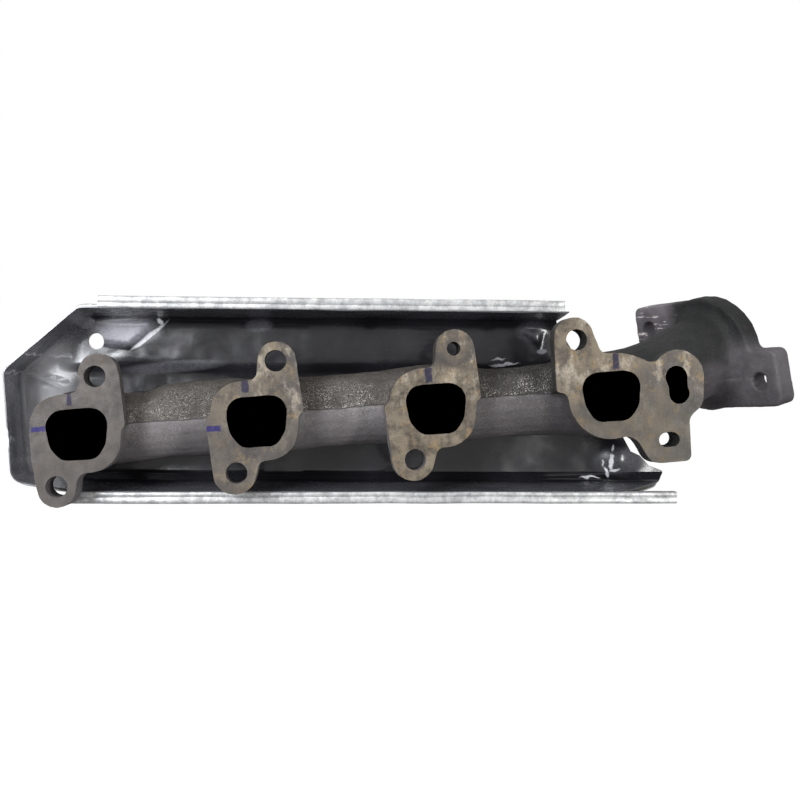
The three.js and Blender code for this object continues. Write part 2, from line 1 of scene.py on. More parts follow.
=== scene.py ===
"""Looks for the exhaust manifold: a filleted sand casting, a creased and embossed three-layer heat
shield and its fixings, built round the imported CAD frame.

Shapes are worked out in millimetres in the CAD's row coordinates: X along the ports from the middle
of the row, Y away from the machined faces, Z up from the port centres. The frame's own origin is
DATUM in those coordinates.
"""

import math
from contextlib import contextmanager

import bmesh
import bpy
import numpy as np
import openvdb as vdb
from mathutils import Matrix, Vector
from mathutils.geometry import delaunay_2d_cdt


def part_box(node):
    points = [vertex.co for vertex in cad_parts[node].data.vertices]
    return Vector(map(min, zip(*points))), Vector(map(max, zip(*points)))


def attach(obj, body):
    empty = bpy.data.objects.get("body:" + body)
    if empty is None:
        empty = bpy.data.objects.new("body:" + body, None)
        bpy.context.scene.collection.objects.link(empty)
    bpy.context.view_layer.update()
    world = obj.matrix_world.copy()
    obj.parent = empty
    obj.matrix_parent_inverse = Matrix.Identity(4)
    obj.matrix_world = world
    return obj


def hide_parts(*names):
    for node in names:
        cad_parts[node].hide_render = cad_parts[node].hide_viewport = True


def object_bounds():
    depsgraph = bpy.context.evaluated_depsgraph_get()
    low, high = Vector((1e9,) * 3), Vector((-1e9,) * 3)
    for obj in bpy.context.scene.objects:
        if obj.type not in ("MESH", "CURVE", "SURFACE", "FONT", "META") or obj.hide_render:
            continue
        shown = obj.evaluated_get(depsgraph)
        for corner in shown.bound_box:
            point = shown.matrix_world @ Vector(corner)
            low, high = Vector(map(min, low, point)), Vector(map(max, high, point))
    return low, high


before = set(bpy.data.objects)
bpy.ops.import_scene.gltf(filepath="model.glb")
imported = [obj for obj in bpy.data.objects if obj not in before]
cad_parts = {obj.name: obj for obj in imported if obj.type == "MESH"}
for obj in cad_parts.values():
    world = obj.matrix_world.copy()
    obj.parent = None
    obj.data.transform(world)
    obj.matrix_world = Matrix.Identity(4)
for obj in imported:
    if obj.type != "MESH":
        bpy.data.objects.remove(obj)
cad_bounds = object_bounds()

MM = 0.001

# ---- The casting's dimensions, in mm ---------------------

PORT_PITCH = 113.3
PORT_X = [step * PORT_PITCH for step in (-1.5, -0.5, 0.5, 1.5)]
DATUM = np.array([PORT_X[2] + 13.8, 0.0, 25.5])
LUG_DEPTH = 24.0
CORE_SHIFT = [1.2, -0.2, 0.3, 0.6]  # how far each port's core sits off its flange
PORT_LEFT = [(-8.4, 5.1, 10.8), (-7.2, -2.8, 10.8), (-7, -8.3, 7.9)]
PORT_CIRCLES = PORT_LEFT + [(-x, z, r) for x, z, r in reversed(PORT_LEFT)]
SLOT_CIRCLES = [(43.4, 9.4, 7.4), (44.6, -1.4, 7)]
FIRST_UPPER_HOLE = (14.4, 35.2)
FIRST_LOWER_HOLE = (-14.0, -32.0)
UPPER_HOLE = (13.8, 37.3)
LOWER_HOLE = (-15.5, -31.6)
END_UPPER_HOLE = (-20.0, 37.6)
END_SLOT = (36.2, -30.7)
END_SLOT_RADIUS = 4.65
END_SLOT_TRAVEL = 2.15
BOLT_RADIUS = 6.8
LOCATING_RADIUS = 4.4
LOG_Y = 48.0
LOG_Z = 2.5
BORE_RADIUS = 18.5
PARTING_Z = 4.2
THREAD_HOLE_RADIUS = 3.3
DRILL_OVERRUN = 2.0

OUTLET_CENTRE = np.array([253.2, 68.2, 22.6])
OUTLET_AZIMUTH = math.radians(58.2)
OUTLET_RISE = math.radians(8.2)
OUTLET_THICKNESS = 14.0
OUTLET_BORE_RADIUS = 22.5
OUTLET_HOLE = (45.1, 21.0)
OUTLET_HOLE_RADIUS = 5.9
OUTLET_OUT = np.array([
    math.sin(OUTLET_AZIMUTH) * math.cos(OUTLET_RISE),
    math.cos(OUTLET_AZIMUTH) * math.cos(OUTLET_RISE),
    math.sin(OUTLET_RISE),
])
OUTLET_ALONG = np.array([-math.cos(OUTLET_AZIMUTH), math.sin(OUTLET_AZIMUTH), 0.0])
OUTLET_UP = np.cross(OUTLET_OUT, OUTLET_ALONG)

# ---- The shield's dimensions, in mm, in its own leaning frame 

SHIELD_LEAN = math.radians(4.35)
SHEET = 0.8
MAT = 2.2
GAP = 0.3
RIM_Y = 29.7
PANEL_Y = 84.0
PANEL_BEND = 8.0
WALL_DRAFT = 3.0
PAN_CORNER = 8.0
PANEL_CORNER = 2.0
RAIL_WIDTH = 8.0
PAN_TOP = 68.0
PAN_BOTTOM = -51.2
PAN_CORNERS = [
    (-215.5, -44), (-172, PAN_BOTTOM), (280, PAN_BOTTOM), (280, PAN_TOP), (-174, PAN_TOP), (-221, 27),
]
PINCH_START = 4.0  # the outer layers leave the inner skin this far behind the rim
PINCH_END = 14.0
RIM_SETBACK = 6.0
LEFT_END = -172.0
TOP_RAIL = (-161, 145)
BOTTOM_RAIL = (-178, 222)
FIXING_X = [-150, -50, 50, 148]
SHIELD_HOLE_RADIUS = 8.0
DRAIN_HOLE = (-167.3, 61.0)
DRAIN_RADIUS = 5.6
# What is cut off the right end: seen from the front (x, z), and from above the bottom wall (x, y).
RIGHT_OF_PANEL = [
    (148, 90), (320, 90), (320, -90), (228, -90), (228, -41),
    (218, -37), (211, -30), (204, -27), (199, -17), (148, 66),
]
RIGHT_OF_WALL = [
    (221.5, RIM_Y - 5), (221.5, RIM_Y + 3), (190, RIM_Y + 3),
    (228, PANEL_Y), (320, PANEL_Y), (320, RIM_Y - 5),
]

# ---- The fixings' dimensions, in mm ----------------------

BORE_OF_FIXING = 3.4  # radius in the sleeve and the washer
SLEEVE_RADIUS = 5.0
FOOT_RADIUS = 8.0
FOOT_THICKNESS = 1.7
WASHER_RADIUS = 10.5
RING_BORE, RING_NECK, RING_RIM = 5.3, 7.6, 11.0  # radii of the knitted ring
RING_LIP = 1.6
HEAD_HEIGHT = 6.0
ACROSS_FLATS = 10.0
THREAD_PITCH = 1.0
THREAD_CREST, THREAD_ROOT = 2.95, 2.5  # radii


# ---- Mesh helpers ----------------------------------------

def to_row(points):
    """Frame coordinates in metres to row coordinates in mm."""
    return np.asarray(points, float) / MM + DATUM


def new_piece(name, points, faces, materials=()):
    """A mesh object from points in row mm."""
    mesh = bpy.data.meshes.new(name)
    mesh.from_pydata(((np.asarray(points, float) - DATUM) * MM).tolist(), [], faces)
    mesh.validate()
    for material in materials:
        mesh.materials.append(material)
    return add_object(name, mesh)


def add_object(name, data):
    made = bpy.data.objects.new(name, data)
    bpy.context.scene.collection.objects.link(made)
    return made


def read_vectors(items, key):
    flat = np.empty(len(items) * 3)
    items.foreach_get(key, flat)
    return flat.reshape(-1, 3)


def read_points(piece):
    return to_row(read_vectors(piece.data.vertices, "co"))


def write_points(piece, points):
    piece.data.vertices.foreach_set("co", ((points - DATUM) * MM).ravel())
    piece.data.update()


def bake_modifiers(piece):
    """Puts the piece's modifiers into its mesh."""
    graph = bpy.context.evaluated_depsgraph_get()
    baked = bpy.data.meshes.new_from_object(piece.evaluated_get(graph))
    piece.modifiers.clear()
    old = piece.data
    piece.data = baked
    bpy.data.meshes.remove(old)
    baked.name = piece.name


@contextmanager
def editing(piece):
    """The piece's mesh as a bmesh, which is put back afterwards."""
    mesh = bmesh.new()
    mesh.from_mesh(piece.data)
    yield mesh
    mesh.to_mesh(piece.data)
    mesh.free()


def face_outwards(piece):
    with editing(piece) as mesh:
        bmesh.ops.recalc_face_normals(mesh, faces=mesh.faces)
    return piece


def ring_faces(count, rings):
    """Quads between rings that follow each other, each of count points."""
    faces = []
    for ring in range(rings - 1):
        a, b = ring * count, (ring + 1) * count
        faces += [[a + i, b + i, b + (i + 1) % count, a + (i + 1) % count] for i in range(count)]
    return faces


def combine(piece, tool, operation):
    """Joins a tool to a piece, or cuts it away, and removes the tool."""
    boolean = piece.modifiers.new("boolean", "BOOLEAN")
    boolean.operation = operation
    boolean.solver = "MANIFOLD"
    boolean.object = tool
    bake_modifiers(piece)
    bpy.data.objects.remove(tool)


def drop_shards(piece):
    """Removes the tiny loose bits that cutting can leave, and keeps the largest body."""
    with editing(piece) as mesh:
        unseen = set(mesh.verts)
        bodies = []
        while unseen:
            body = [unseen.pop()]
            for vert in body:
                near = {edge.other_vert(vert) for edge in vert.link_edges} & unseen
                unseen -= near
                body.extend(near)
            bodies.append(body)
        bodies.sort(key=len)
        shards = [vert for body in bodies[:-1] for vert in body]
        bmesh.ops.delete(mesh, geom=shards, context="VERTS")


def smooth_with_creases(piece, degrees):
    piece.data.shade_smooth()
    piece.data.set_sharp_from_angle(angle=math.radians(degrees))


def soft_noise(points, cell, seed):
    """Smooth noise from -1 to 1 at each point, with features about one cell long."""
    side = 32
    lattice = np.random.default_rng(seed).uniform(-1, 1, (side, side, side))
    scaled = np.asarray(points, float) / cell
    low = np.floor(scaled).astype(int)
    part = scaled - low
    part = part * part * (3 - 2 * part)
    total = np.zeros(len(scaled))
    for corner in np.ndindex(2, 2, 2):
        weight = np.prod(np.where(corner, part, 1 - part), axis=1)
        total += weight * lattice[tuple(((low + corner) % side).T)]
    return total


def layered_noise(points, layers):
    """Smooth noise in layers, each with its height, cell and seed."""
    return sum(height * soft_noise(points, cell, seed) for height, cell, seed in layers)


def smooth_step(value, start, end):
    t = np.clip((value - start) / (end - start), 0, 1)
    return t * t * (3 - 2 * t)


# ---- Outlines --------------------------------------------

def belt(circles, steps=10, margin=0.0):
    """The taut belt round circles (x, z, radius) given counter-clockwise, as a ring of points."""
    leaving = []
    for i, (x, z, r) in enumerate(circles):
        next_x, next_z, next_r = circles[(i + 1) % len(circles)]
        heading = math.atan2(next_z - z, next_x - x)
        leaving.append(heading - math.acos((r - next_r) / math.hypot(next_x - x, next_z - z)))
    ring = []
    for i, (x, z, r) in enumerate(circles):
        start = leaving[i - 1]
        sweep = (leaving[i] - start) % (2 * math.pi)
        for step in range(steps + 1):
            turn = start + sweep * step / steps
            ring.append((x + (r + margin) * math.cos(turn), z + (r + margin) * math.sin(turn)))
    return np.array(ring)


def circle(x, z, radius, steps=48):
    turns = np.linspace(0, 2 * math.pi, steps, endpoint=False)
    return np.stack([x + radius * np.cos(turns), z + radius * np.sin(turns)], axis=1)


def outside_by(outline, x, z):
    """How far each point lies outside a convex counter-clockwise outline; negative inside."""
    edges = np.roll(outline, -1, axis=0) - outline
    lengths = np.linalg.norm(edges, axis=1)
    keep = lengths > 1e-6
    starts, edges = outline[keep], edges[keep] / lengths[keep, None]
    away = [(x - sx) * ez - (z - sz) * ex for (sx, sz), (ex, ez) in zip(starts, edges)]
    return np.max(away, axis=0)


def cut(piece, outline, near, far, corner_of):
    """Cuts a prism out of a piece; corner_of turns (u, v, depth) arrays into row points."""
    count = len(outline)
    u, v = outline[:, 0], outline[:, 1]
    points = np.vstack([corner_of(u, v, np.full(count, depth)) for depth in (near, far)])
    faces = [list(range(count)), list(range(2 * count - 1, count - 1, -1))]
    faces += [[i, i + count, (i + 1) % count + count, (i + 1) % count] for i in range(count)]
    tool = new_piece("tool", points, faces)
    with editing(tool) as mesh:
        bmesh.ops.triangulate(mesh, faces=mesh.faces)
    combine(piece, face_outwards(tool), "DIFFERENCE")


def along_y(u, v, depth):
    return np.stack([u, depth, v], axis=1)


def at_depth(outline, depth):
    return along_y(outline[:, 0], outline[:, 1], np.full(len(outline), depth))


def along_outlet(u, v, depth):
    spread = np.outer(u, OUTLET_ALONG) + np.outer(v, OUTLET_UP) + np.outer(depth, OUTLET_OUT)
    return OUTLET_CENTRE + spread


def along_shield_y(u, v, depth):
    return lean(along_y(u, v, depth))


def along_shield_z(u, v, depth):
    return lean(np.stack([u, v, depth], axis=1))


def lean(points):
    """Shield coordinates to row coordinates."""
    x, y, z = np.asarray(points, float).T
    c, s = math.cos(SHIELD_LEAN), math.sin(SHIELD_LEAN)
    return np.stack([x * c + z * s, y, z * c - x * s], axis=1)


def lean_back(x, z):
    c, s = math.cos(SHIELD_LEAN), math.sin(SHIELD_LEAN)
    return x * c - z * s, x * s + z * c


# ---- Shader helper ---------------------------------------

class Shader:
    """A node material being put together. Lengths in its textures are metres of the object."""

    def __init__(self, name):
        self.material = bpy.data.materials.new(name)
        self.material.use_nodes = True
        self.nodes = self.material.node_tree.nodes
        self.links = self.material.node_tree.links
        self.skin = self.nodes["Principled BSDF"]
        self.place = self.nodes.new("ShaderNodeTexCoord").outputs["Object"]
        axes = self.nodes.new("ShaderNodeSeparateXYZ")
        self.links.new(self.place, axes.inputs[0])
        self.x, self.y, self.z = axes.outputs
        self.colour = None

    def node(self, kind, inputs, output=0, **settings):
        made = self.nodes.new("ShaderNode" + kind)
        for key, value in settings.items():
            setattr(made, key, value)
        for key, value in inputs.items():
            self.feed(made.inputs[key], value)
        return made.outputs[output]

    def feed(self, socket, value):
        if isinstance(value, bpy.types.NodeSocket):
            self.links.new(value, socket)
        else:
            socket.default_value = value

    def set(self, **values):
        for key, value in values.items():
            self.feed(self.skin.inputs[key.replace("_", " ")], value)

    def stretched(self, x, y, z):
        """The object's coordinates, multiplied along each axis."""
        return self.node("Mapping", {"Vector": self.place, "Scale": (x, y, z)})

    def noise(self, scale, detail=2.0, roughness=0.5, place=None):
        place = place or self.place
        inputs = {"Vector": place, "Scale": scale, "Detail": detail, "Roughness": roughness}
        return self.node("TexNoise", inputs)

    def cells(self, scale, feature="F1", output="Distance"):
        return self.node("TexVoronoi", {"Vector": self.place, "Scale": scale}, output, feature=feature)

    def ramp(self, value, low, high, to_low=0.0, to_high=1.0):
        inputs = {"Value": value, "From Min": low, "From Max": high, "To Min": to_low, "To Max": to_high}
        return self.node("MapRange", inputs, interpolation_type="SMOOTHSTEP")

    def cloud(self, scale, detail, roughness, low, high, to_low=0.0, to_high=1.0):
        """Noise, with its values from low to high spread over the whole range."""
        return self.ramp(self.noise(scale, detail, roughness), low, high, to_low, to_high)

    def ellipse(self, a, b, low, high, most):
        """A mask that fades out between two squared radii from the point where a and b are 0."""
        return self.ramp(self.sum(self.times(a, a), self.times(b, b)), low, high, most, 0.0)

    def sum(self, a, b):
        return self.node("Math", {0: a, 1: b}, operation="ADD")

    def times(self, a, b):
        return self.node("Math", {0: a, 1: b}, operation="MULTIPLY")

    def greatest(self, a, b):
        return self.node("Math", {0: a, 1: b}, operation="MAXIMUM")

    def away_from(self, value, middle):
        shifted = self.node("Math", {0: value, 1: middle}, operation="SUBTRACT")
        return self.node("Math", {0: shifted}, operation="ABSOLUTE")

    def mix(self, amount, under, over):
        under, over = (c if isinstance(c, bpy.types.NodeSocket) else (*c, 1.0) for c in (under, over))
        made = self.nodes.new("ShaderNodeMix")
        made.data_type = "RGBA"
        for key, value in (("Factor_Float", amount), ("A_Color", under), ("B_Color", over)):
            self.feed(next(s for s in made.inputs if s.identifier == key), value)
        return next(s for s in made.outputs if s.identifier == "Result_Color")

    def coat(self, amount, tint):
        """Lays a tint over the colour so far."""
        self.colour = self.mix(amount, self.colour, tint)

    def finish(self, roughness, height, distance, strength, **values):
        """Sets the surface, with its relief as a bump map, and gives the finished material."""
        relief = {"Height": height, "Distance": distance, "Strength": strength}
        normal = self.node("Bump", relief, "Normal")
        self.set(Base_Color=self.colour, Roughness=roughness, Normal=normal, **values)
        return self.material

    def worn_edges(self, low, high, most):
        """A mask over the mesh's sharp outer edges."""
        return self.ramp(self.node("NewGeometry", {}, "Pointiness"), low, high, 0.0, most)


# ---- Materials -------------------------------------------

def raw_iron():
    """Sand-cast skin: coarse and sparkling above the mould's parting line, finer and bluer below."""
    s = Shader("cast_iron_raw")
    parting = (PARTING_Z - DATUM[2]) * MM
    above = s.ramp(s.z, parting - 0.0008, parting + 0.0008)
    on_log = s.ramp(s.x, 0.085, 0.13, 1.0, 0.0)
    # Painted light: the underside of the elbow and both ears of the outlet are painted paler than the
    # rest of the elbow, to stand in for the light that falls on them.
    lit_underside = s.times(s.ramp(s.z, -0.018, -0.004, 1.0, 0.0), s.ramp(s.x, 0.16, 0.178))
    lit_near_ear = s.times(s.ramp(s.z, -0.006, 0.012, 1.0, 0.0), s.ramp(s.x, 0.182, 0.206))
    lit_near_ear = s.greatest(lit_near_ear, lit_underside)
    lit_far_ear = s.times(s.ramp(s.y, 0.078, 0.092), s.ramp(s.x, 0.166, 0.18, 1.0, 0.0))
    # The coarse sand's skin fades out below the parting line and is brightest just above it.
    coarse = s.times(s.sum(s.times(above, 0.75), 0.25), on_log)
    bloom = s.ramp(s.z, parting, parting + 0.02, 1.0, 0.45)

    patches = s.cloud(22, 5, 0.6, 0.35, 0.65)
    warm = s.mix(patches, (0.058, 0.051, 0.045), (0.112, 0.101, 0.09))
    warm = s.mix(s.ramp(s.x, -0.02, 0.07), warm, (0.03, 0.029, 0.026))
    cool = s.mix(patches, (0.155, 0.143, 0.146), (0.225, 0.21, 0.214))
    cool = s.mix(s.ramp(s.x, -0.03, 0.07), cool, (0.1, 0.092, 0.095))
    elbow_tone = s.mix(patches, (0.01, 0.011, 0.011), (0.024, 0.024, 0.025))
    # Painted light: paler copies of the elbow's colour for its lit underside and ears.
    lit_near_tone = s.mix(patches, (0.08, 0.074, 0.08), (0.14, 0.13, 0.138))
    lit_far_tone = s.mix(patches, (0.085, 0.077, 0.087), (0.19, 0.172, 0.19))
    elbow_tone = s.mix(lit_far_ear, s.mix(lit_near_ear, elbow_tone, lit_near_tone), lit_far_tone)
    s.colour = s.mix(on_log, elbow_tone, s.mix(above, cool, warm))
    rust = s.cloud(95, 6, 0.7, 0.6, 0.72, 0.0, 0.3)
    s.coat(rust, (0.115, 0.075, 0.045))

    grain = s.noise(1050, 3, 0.6)
    fine = s.noise(2600, 2, 0.5)
    glint = s.cloud(1350, 3, 0.6, 0.52, 0.63)
    glint = s.times(glint, s.cloud(75, 5, 0.65, 0.38, 0.62, 0.15, 1.0))
    glint = s.times(glint, s.times(bloom, s.sum(s.times(coarse, 0.8), 0.08)))
    s.coat(glint, (0.62, 0.59, 0.55))
    pits = s.times(s.cloud(700, 3, 0.6, 0.32, 0.46, 0.75, 0.0), s.sum(s.times(coarse, 0.8), 0.2))
    s.coat(pits, (0.022, 0.019, 0.017))
    # Painted shade: a thin dark line along the parting line, where the mould's step casts shade.
    wander = s.cloud(60, 2, 0.5, 0.2, 0.8, -0.0008, 0.0008)
    seam_shade = s.ramp(s.away_from(s.sum(s.z, wander), parting), 0.0002, 0.0008, 0.65, 0.0)
    s.coat(s.times(on_log, seam_shade), (0.018, 0.015, 0.014))
    # Pale sharp edges: edge wear, and a painted highlight along the edges.
    edges = s.worn_edges(0.51, 0.57, 0.55)
    edges = s.times(edges, s.cloud(300, 4, 0.7, 0.35, 0.6, 0.2, 1.0))
    s.coat(edges, (0.22, 0.2, 0.19))
    # Painted glints: pale streaks on the far ear that stand in for light caught by its scratches.
    scratch_glints = s.ramp(s.noise(1.0, 4, 0.7, s.stretched(90, 60, 420)), 0.6, 0.66)
    s.coat(s.times(scratch_glints, lit_far_ear), (0.62, 0.58, 0.56))

    height = s.sum(s.times(grain, s.sum(s.times(coarse, 0.9), 0.5)), s.times(fine, 0.35))
    height = s.sum(height, s.times(s.noise(240, 3, 0.5), 0.9))
    roughness = s.sum(s.times(glint, -0.35), s.ramp(grain, 0.3, 0.7, 0.6, 0.78))
    metallic = s.sum(s.times(glint, 0.5), 0.25)
    return s.finish(roughness, height, 0.0007, 0.8, Metallic=metallic)


# Inspection paint on the machined rims: the middle of each stroke and its half size, in row mm.
VIOLET_STROKES = [(-192.4, 4.7, 4.6, 1.6), (-84.4, -2.7, 4.9, 1.9)]
SLATE_STROKES = [
    (-172.2, 22.0, 1.5, 4.2),
    (-63.0, 22.6, 2.3, 4.2),
    (53.3, 21.6, 2.4, 5.2),
    (174.4, 22.2, 2.2, 5.6),
]
PAINTS = [(VIOLET_STROKES, (0.012, 0.008, 0.1)), (SLATE_STROKES, (0.016, 0.014, 0.04))]


def machined_iron():
    """A milled face: grey to straw, with stains, specks, faint cutter arcs and paint ticks."""
    s = Shader("cast_iron_machined")
    straw = s.ramp(s.x, -0.2, -0.1, 0.1, 1.0)
    grey = s.mix(s.cloud(60, 5, 0.65, 0.35, 0.65), (0.052, 0.045, 0.042), (0.086, 0.076, 0.07))
    tan = s.mix(s.cloud(90, 6, 0.75, 0.36, 0.6), (0.062, 0.049, 0.036), (0.2, 0.163, 0.115))
    warmth = s.times(straw, s.cloud(16, 3, 0.6, 0.35, 0.6))
    s.colour = s.mix(warmth, grey, tan)
    stain = s.times(straw, s.cloud(110, 6, 0.7, 0.53, 0.64, 0.0, 0.65))
    s.coat(stain, (0.25, 0.17, 0.075))
    bare = s.times(straw, s.ramp(s.noise(1.0, 6, 0.75, s.stretched(75, 75, 45)), 0.5, 0.66, 0.0, 0.75))
    bare = s.times(bare, s.ramp(s.z, -0.03, -0.01, 0.35, 1.0))
    s.coat(bare, (0.4, 0.35, 0.275))
    cracks = s.ramp(s.cells(240, "DISTANCE_TO_EDGE"), 0.0, 0.05, 0.6, 0.0)
    cracks = s.times(cracks, s.times(straw, s.cloud(60, 5, 0.65, 0.5, 0.66)))
    s.coat(cracks, (0.06, 0.048, 0.038))
    specks = s.cloud(650, 4, 0.65, 0.56, 0.66, 0.0, 0.8)
    specks = s.times(specks, s.cloud(70, 4, 0.6, 0.4, 0.6, 0.2, 1.0))
    s.coat(specks, (0.06, 0.052, 0.045))

    # The last flange is duller below its port.
    dull = s.times(s.ramp(s.x, 0.05, 0.09), s.ramp(s.z, -0.034, -0.022, 0.5, 0.0))
    s.coat(dull, (0.055, 0.052, 0.045))

    # The cutter's arcs run round a point far below the row.
    around = s.node("Mapping", {"Vector": s.place, "Location": (0.1, 0, 0.35)})
    arcs = {"Vector": around, "Scale": 190.0, "Distortion": 1.5, "Detail": 2.0, "Detail Scale": 1.0}
    cutter = s.node("TexWave", arcs, "Color", wave_type="RINGS", rings_direction="Y")
    scratches = s.ramp(s.noise(1.0, 3, 0.6, s.stretched(2600, 2600, 120)), 0.35, 0.75)
    s.coat(s.times(scratches, 0.08), (0.4, 0.37, 0.33))

    wobble = s.cloud(400, 2, 0.6, 0.2, 0.8, -0.0005, 0.0005)
    x = s.sum(s.x, wobble)
    z = s.sum(s.z, wobble)
    for strokes, tint in PAINTS:
        paint = 0.0
        for px, pz, half_x, half_z in strokes:
            across = s.times(s.away_from(x, (px - DATUM[0]) * MM), 1 / (half_x * MM))
            up = s.times(s.away_from(z, (pz - DATUM[2]) * MM), 1 / (half_z * MM))
            paint = s.greatest(s.ramp(s.greatest(across, up), 0.8, 1.05, 1.0, 0.0), paint)
        paint = s.times(paint, s.cloud(420, 3, 0.6, 0.2, 0.5, 0.62, 0.95))
        s.coat(paint, tint)

    height = s.sum(s.times(cutter, 0.5), s.sum(s.times(scratches, 0.15), s.times(specks, -1.0)))
    roughness = s.cloud(180, 4, 0.6, 0.3, 0.7, 0.42, 0.62)
    return s.finish(roughness, height, 0.00006, 0.6, Metallic=0.35)


def soot():
    """The walls of the gas passages."""
    s = Shader("soot")
    tone = s.cloud(160, 5, 0.6, 0.35, 0.7)
    s.colour = s.mix(tone, (0.006, 0.0055, 0.005), (0.02, 0.018, 0.016))
    return s.finish(0.9, s.noise(700, 4, 0.6), 0.0006, 0.7, Specular_IOR_Level=0.15)


# Patches of painted reflection on the inner skin, broken up by a scratchy texture: middle, half size and
# strength, in shield mm.
SHEEN_PATCHES = [
    (-118, 31, 36, 4.5, 0.22),
    (-206, 24, 18, 10, 0.3),
    (-192, 48, 30, 18, 0.24),
    (-153, 55, 26, 11, 0.8),
    (-177, 60, 6, 5, 0.5),
    (-60, 60, 10, 5, 0.14),
    (132, 58, 12, 8, 0.1),
    (196, -34, 20, 10, 0.16),
    (139.5, 43.5, 4, 2, 0.4),
]
# Painted glints along creases and bevels: both ends, half width and strength, in shield mm.
GLINT_LINES = [
    ((-223, 26.4), (-186, 19.8), 1.1, 1.0),
    ((-222, 26.3), (-191, 14.5), 1.0, 0.9),
    ((-213, 37.5), (-186, 37.5), 1.1, 0.8),
    ((-150, 40.0), (-122.2, 62.4), 1.7, 1.0),
    ((-125.2, 60.0), (-128.0, 65.0), 1.4, 0.9),
    ((-128.0, 65.2), (-172, 66.0), 0.8, 0.45),
    ((101.5, 33.5), (124.5, 35.8), 1.2, 1.0),
    ((103.5, 38.0), (114.5, 38.4), 0.7, 0.8),
    ((-219.5, -2), (-218, -26), 1.5, 0.8),
    ((189.7, -28), (190.4, -41), 2.2, 1.0),
    ((185.3, -37.5), (188.2, -45), 1.4, 0.9),
    ((183.8, -32.6), (184.5, -38.2), 0.9, 0.7),
    ((192.7, -21), (191, -26.6), 0.9, 0.7),
    ((188.4, -41), (197, -39.3), 1.2, 0.8),
    ((166, -45.5), (182, -46.2), 0.8, 0.9),
]


def glint_line(s, place_x, place_z, start, end, half_width, strength):
    """A slim ellipse about a line, strongest in its middle."""
    ends = (lean([(x, 0, z) for x, z in (start, end)]) - DATUM) * MM
    (x0, _, z0), (x1, _, z1) = ends
    length = math.hypot(x1 - x0, z1 - z0)
    ux, uz = (x1 - x0) / length, (z1 - z0) / length
    x = s.sum(place_x, -(x0 + x1) / 2)
    z = s.sum(place_z, -(z0 + z1) / 2)
    along = s.times(s.sum(s.times(x, ux), s.times(z, uz)), 2 / length)
    across = s.times(s.sum(s.times(z, ux), s.times(x, -uz)), 1 / (half_width * MM))
    return s.ellipse(along, across, 0.15, 1.15, strength)


def dark_sheet():
    """The inner skin: black, heat-blued sheet with a gloss and dust, with painted reflections and
    painted glints on its pressed features, creases and left end.
    """
    s = Shader("sheet_dark")
    cloud = s.cloud(14, 5, 0.6, 0.35, 0.65)
    s.colour = s.mix(cloud, (0.01, 0.01, 0.012), (0.02, 0.02, 0.024))
    dust_and_sheen = s.cloud(420, 5, 0.7, 0.58, 0.78, 0.0, 0.12)
    dust_and_sheen = s.times(dust_and_sheen, s.cloud(30, 4, 0.6, 0.45, 0.65))
    # Painted reflections: pale patches over the pad, the dimples, the band above the log, the bulge and
    # the left end.
    sheen_patches = 0.0
    for x, z, half_x, half_z, strength in SHEEN_PATCHES:
        row = lean([(x, 0, z)])[0] - DATUM
        across = s.times(s.sum(s.x, -row[0] * MM), 1 / (half_x * MM))
        up = s.times(s.sum(s.z, -row[2] * MM), 1 / (half_z * MM))
        sheen_patches = s.greatest(s.ellipse(across, up, 0.2, 1.3, strength), sheen_patches)
    scratched = s.ramp(s.noise(1.0, 6, 0.75, s.stretched(420, 420, 1100)), 0.3, 0.66, 0.4, 1.0)
    dust_and_sheen = s.greatest(dust_and_sheen, s.times(sheen_patches, scratched))
    # The walls carry an even film of dust.
    dust_and_sheen = s.greatest(dust_and_sheen, s.ramp(s.y, 0.066, 0.078, 0.16, 0.0))
    # Painted glints along the creases and bevels, their edges made wavy.
    ripple = s.cloud(95, 3, 0.5, 0.3, 0.7, -0.0012, 0.0012)
    rippled_x = s.sum(s.x, ripple)
    rippled_z = s.sum(s.z, ripple)
    highlights = 0.0
    for crease in GLINT_LINES:
        highlights = s.greatest(glint_line(s, rippled_x, rippled_z, *crease), highlights)
    highlights = s.times(highlights, s.cloud(500, 4, 0.7, 0.3, 0.5, 0.45, 1.0))
    # Painted highlight: the panel's bend at the left end is lightened.
    bend_highlight = s.times(s.ramp(s.x, -0.284, -0.246, 0.95, 0.0), s.ramp(s.y, 0.06, 0.072))
    bend_highlight = s.times(bend_highlight, s.ramp(s.z, -0.062, -0.036))
    uneven = s.noise(1.0, 3, 0.6, s.stretched(60, 60, 20))
    bend_highlight = s.times(bend_highlight, s.ramp(uneven, 0.25, 0.6, 0.5, 1.0))
    highlights = s.greatest(highlights, bend_highlight)
    # Dust, and the painted reflections, in pale grey.
    s.coat(dust_and_sheen, (0.56, 0.56, 0.63))
    edges = s.worn_edges(0.53, 0.6, 0.25)
    s.coat(edges, (0.1, 0.1, 0.115))
    # Painted highlights in near white.
    s.coat(highlights, (0.96, 0.96, 1.0))
    roughness = s.cloud(38, 5, 0.65, 0.3, 0.7, 0.14, 0.26)
    roughness = s.sum(roughness, s.times(dust_and_sheen, 0.4))
    height = s.sum(s.noise(1.0, 2, 0.5, s.stretched(30, 30, 60)), s.times(s.noise(600, 3, 0.6), 0.02))
    return s.finish(roughness, height, 0.0012, 0.4, Specular_IOR_Level=0.9)


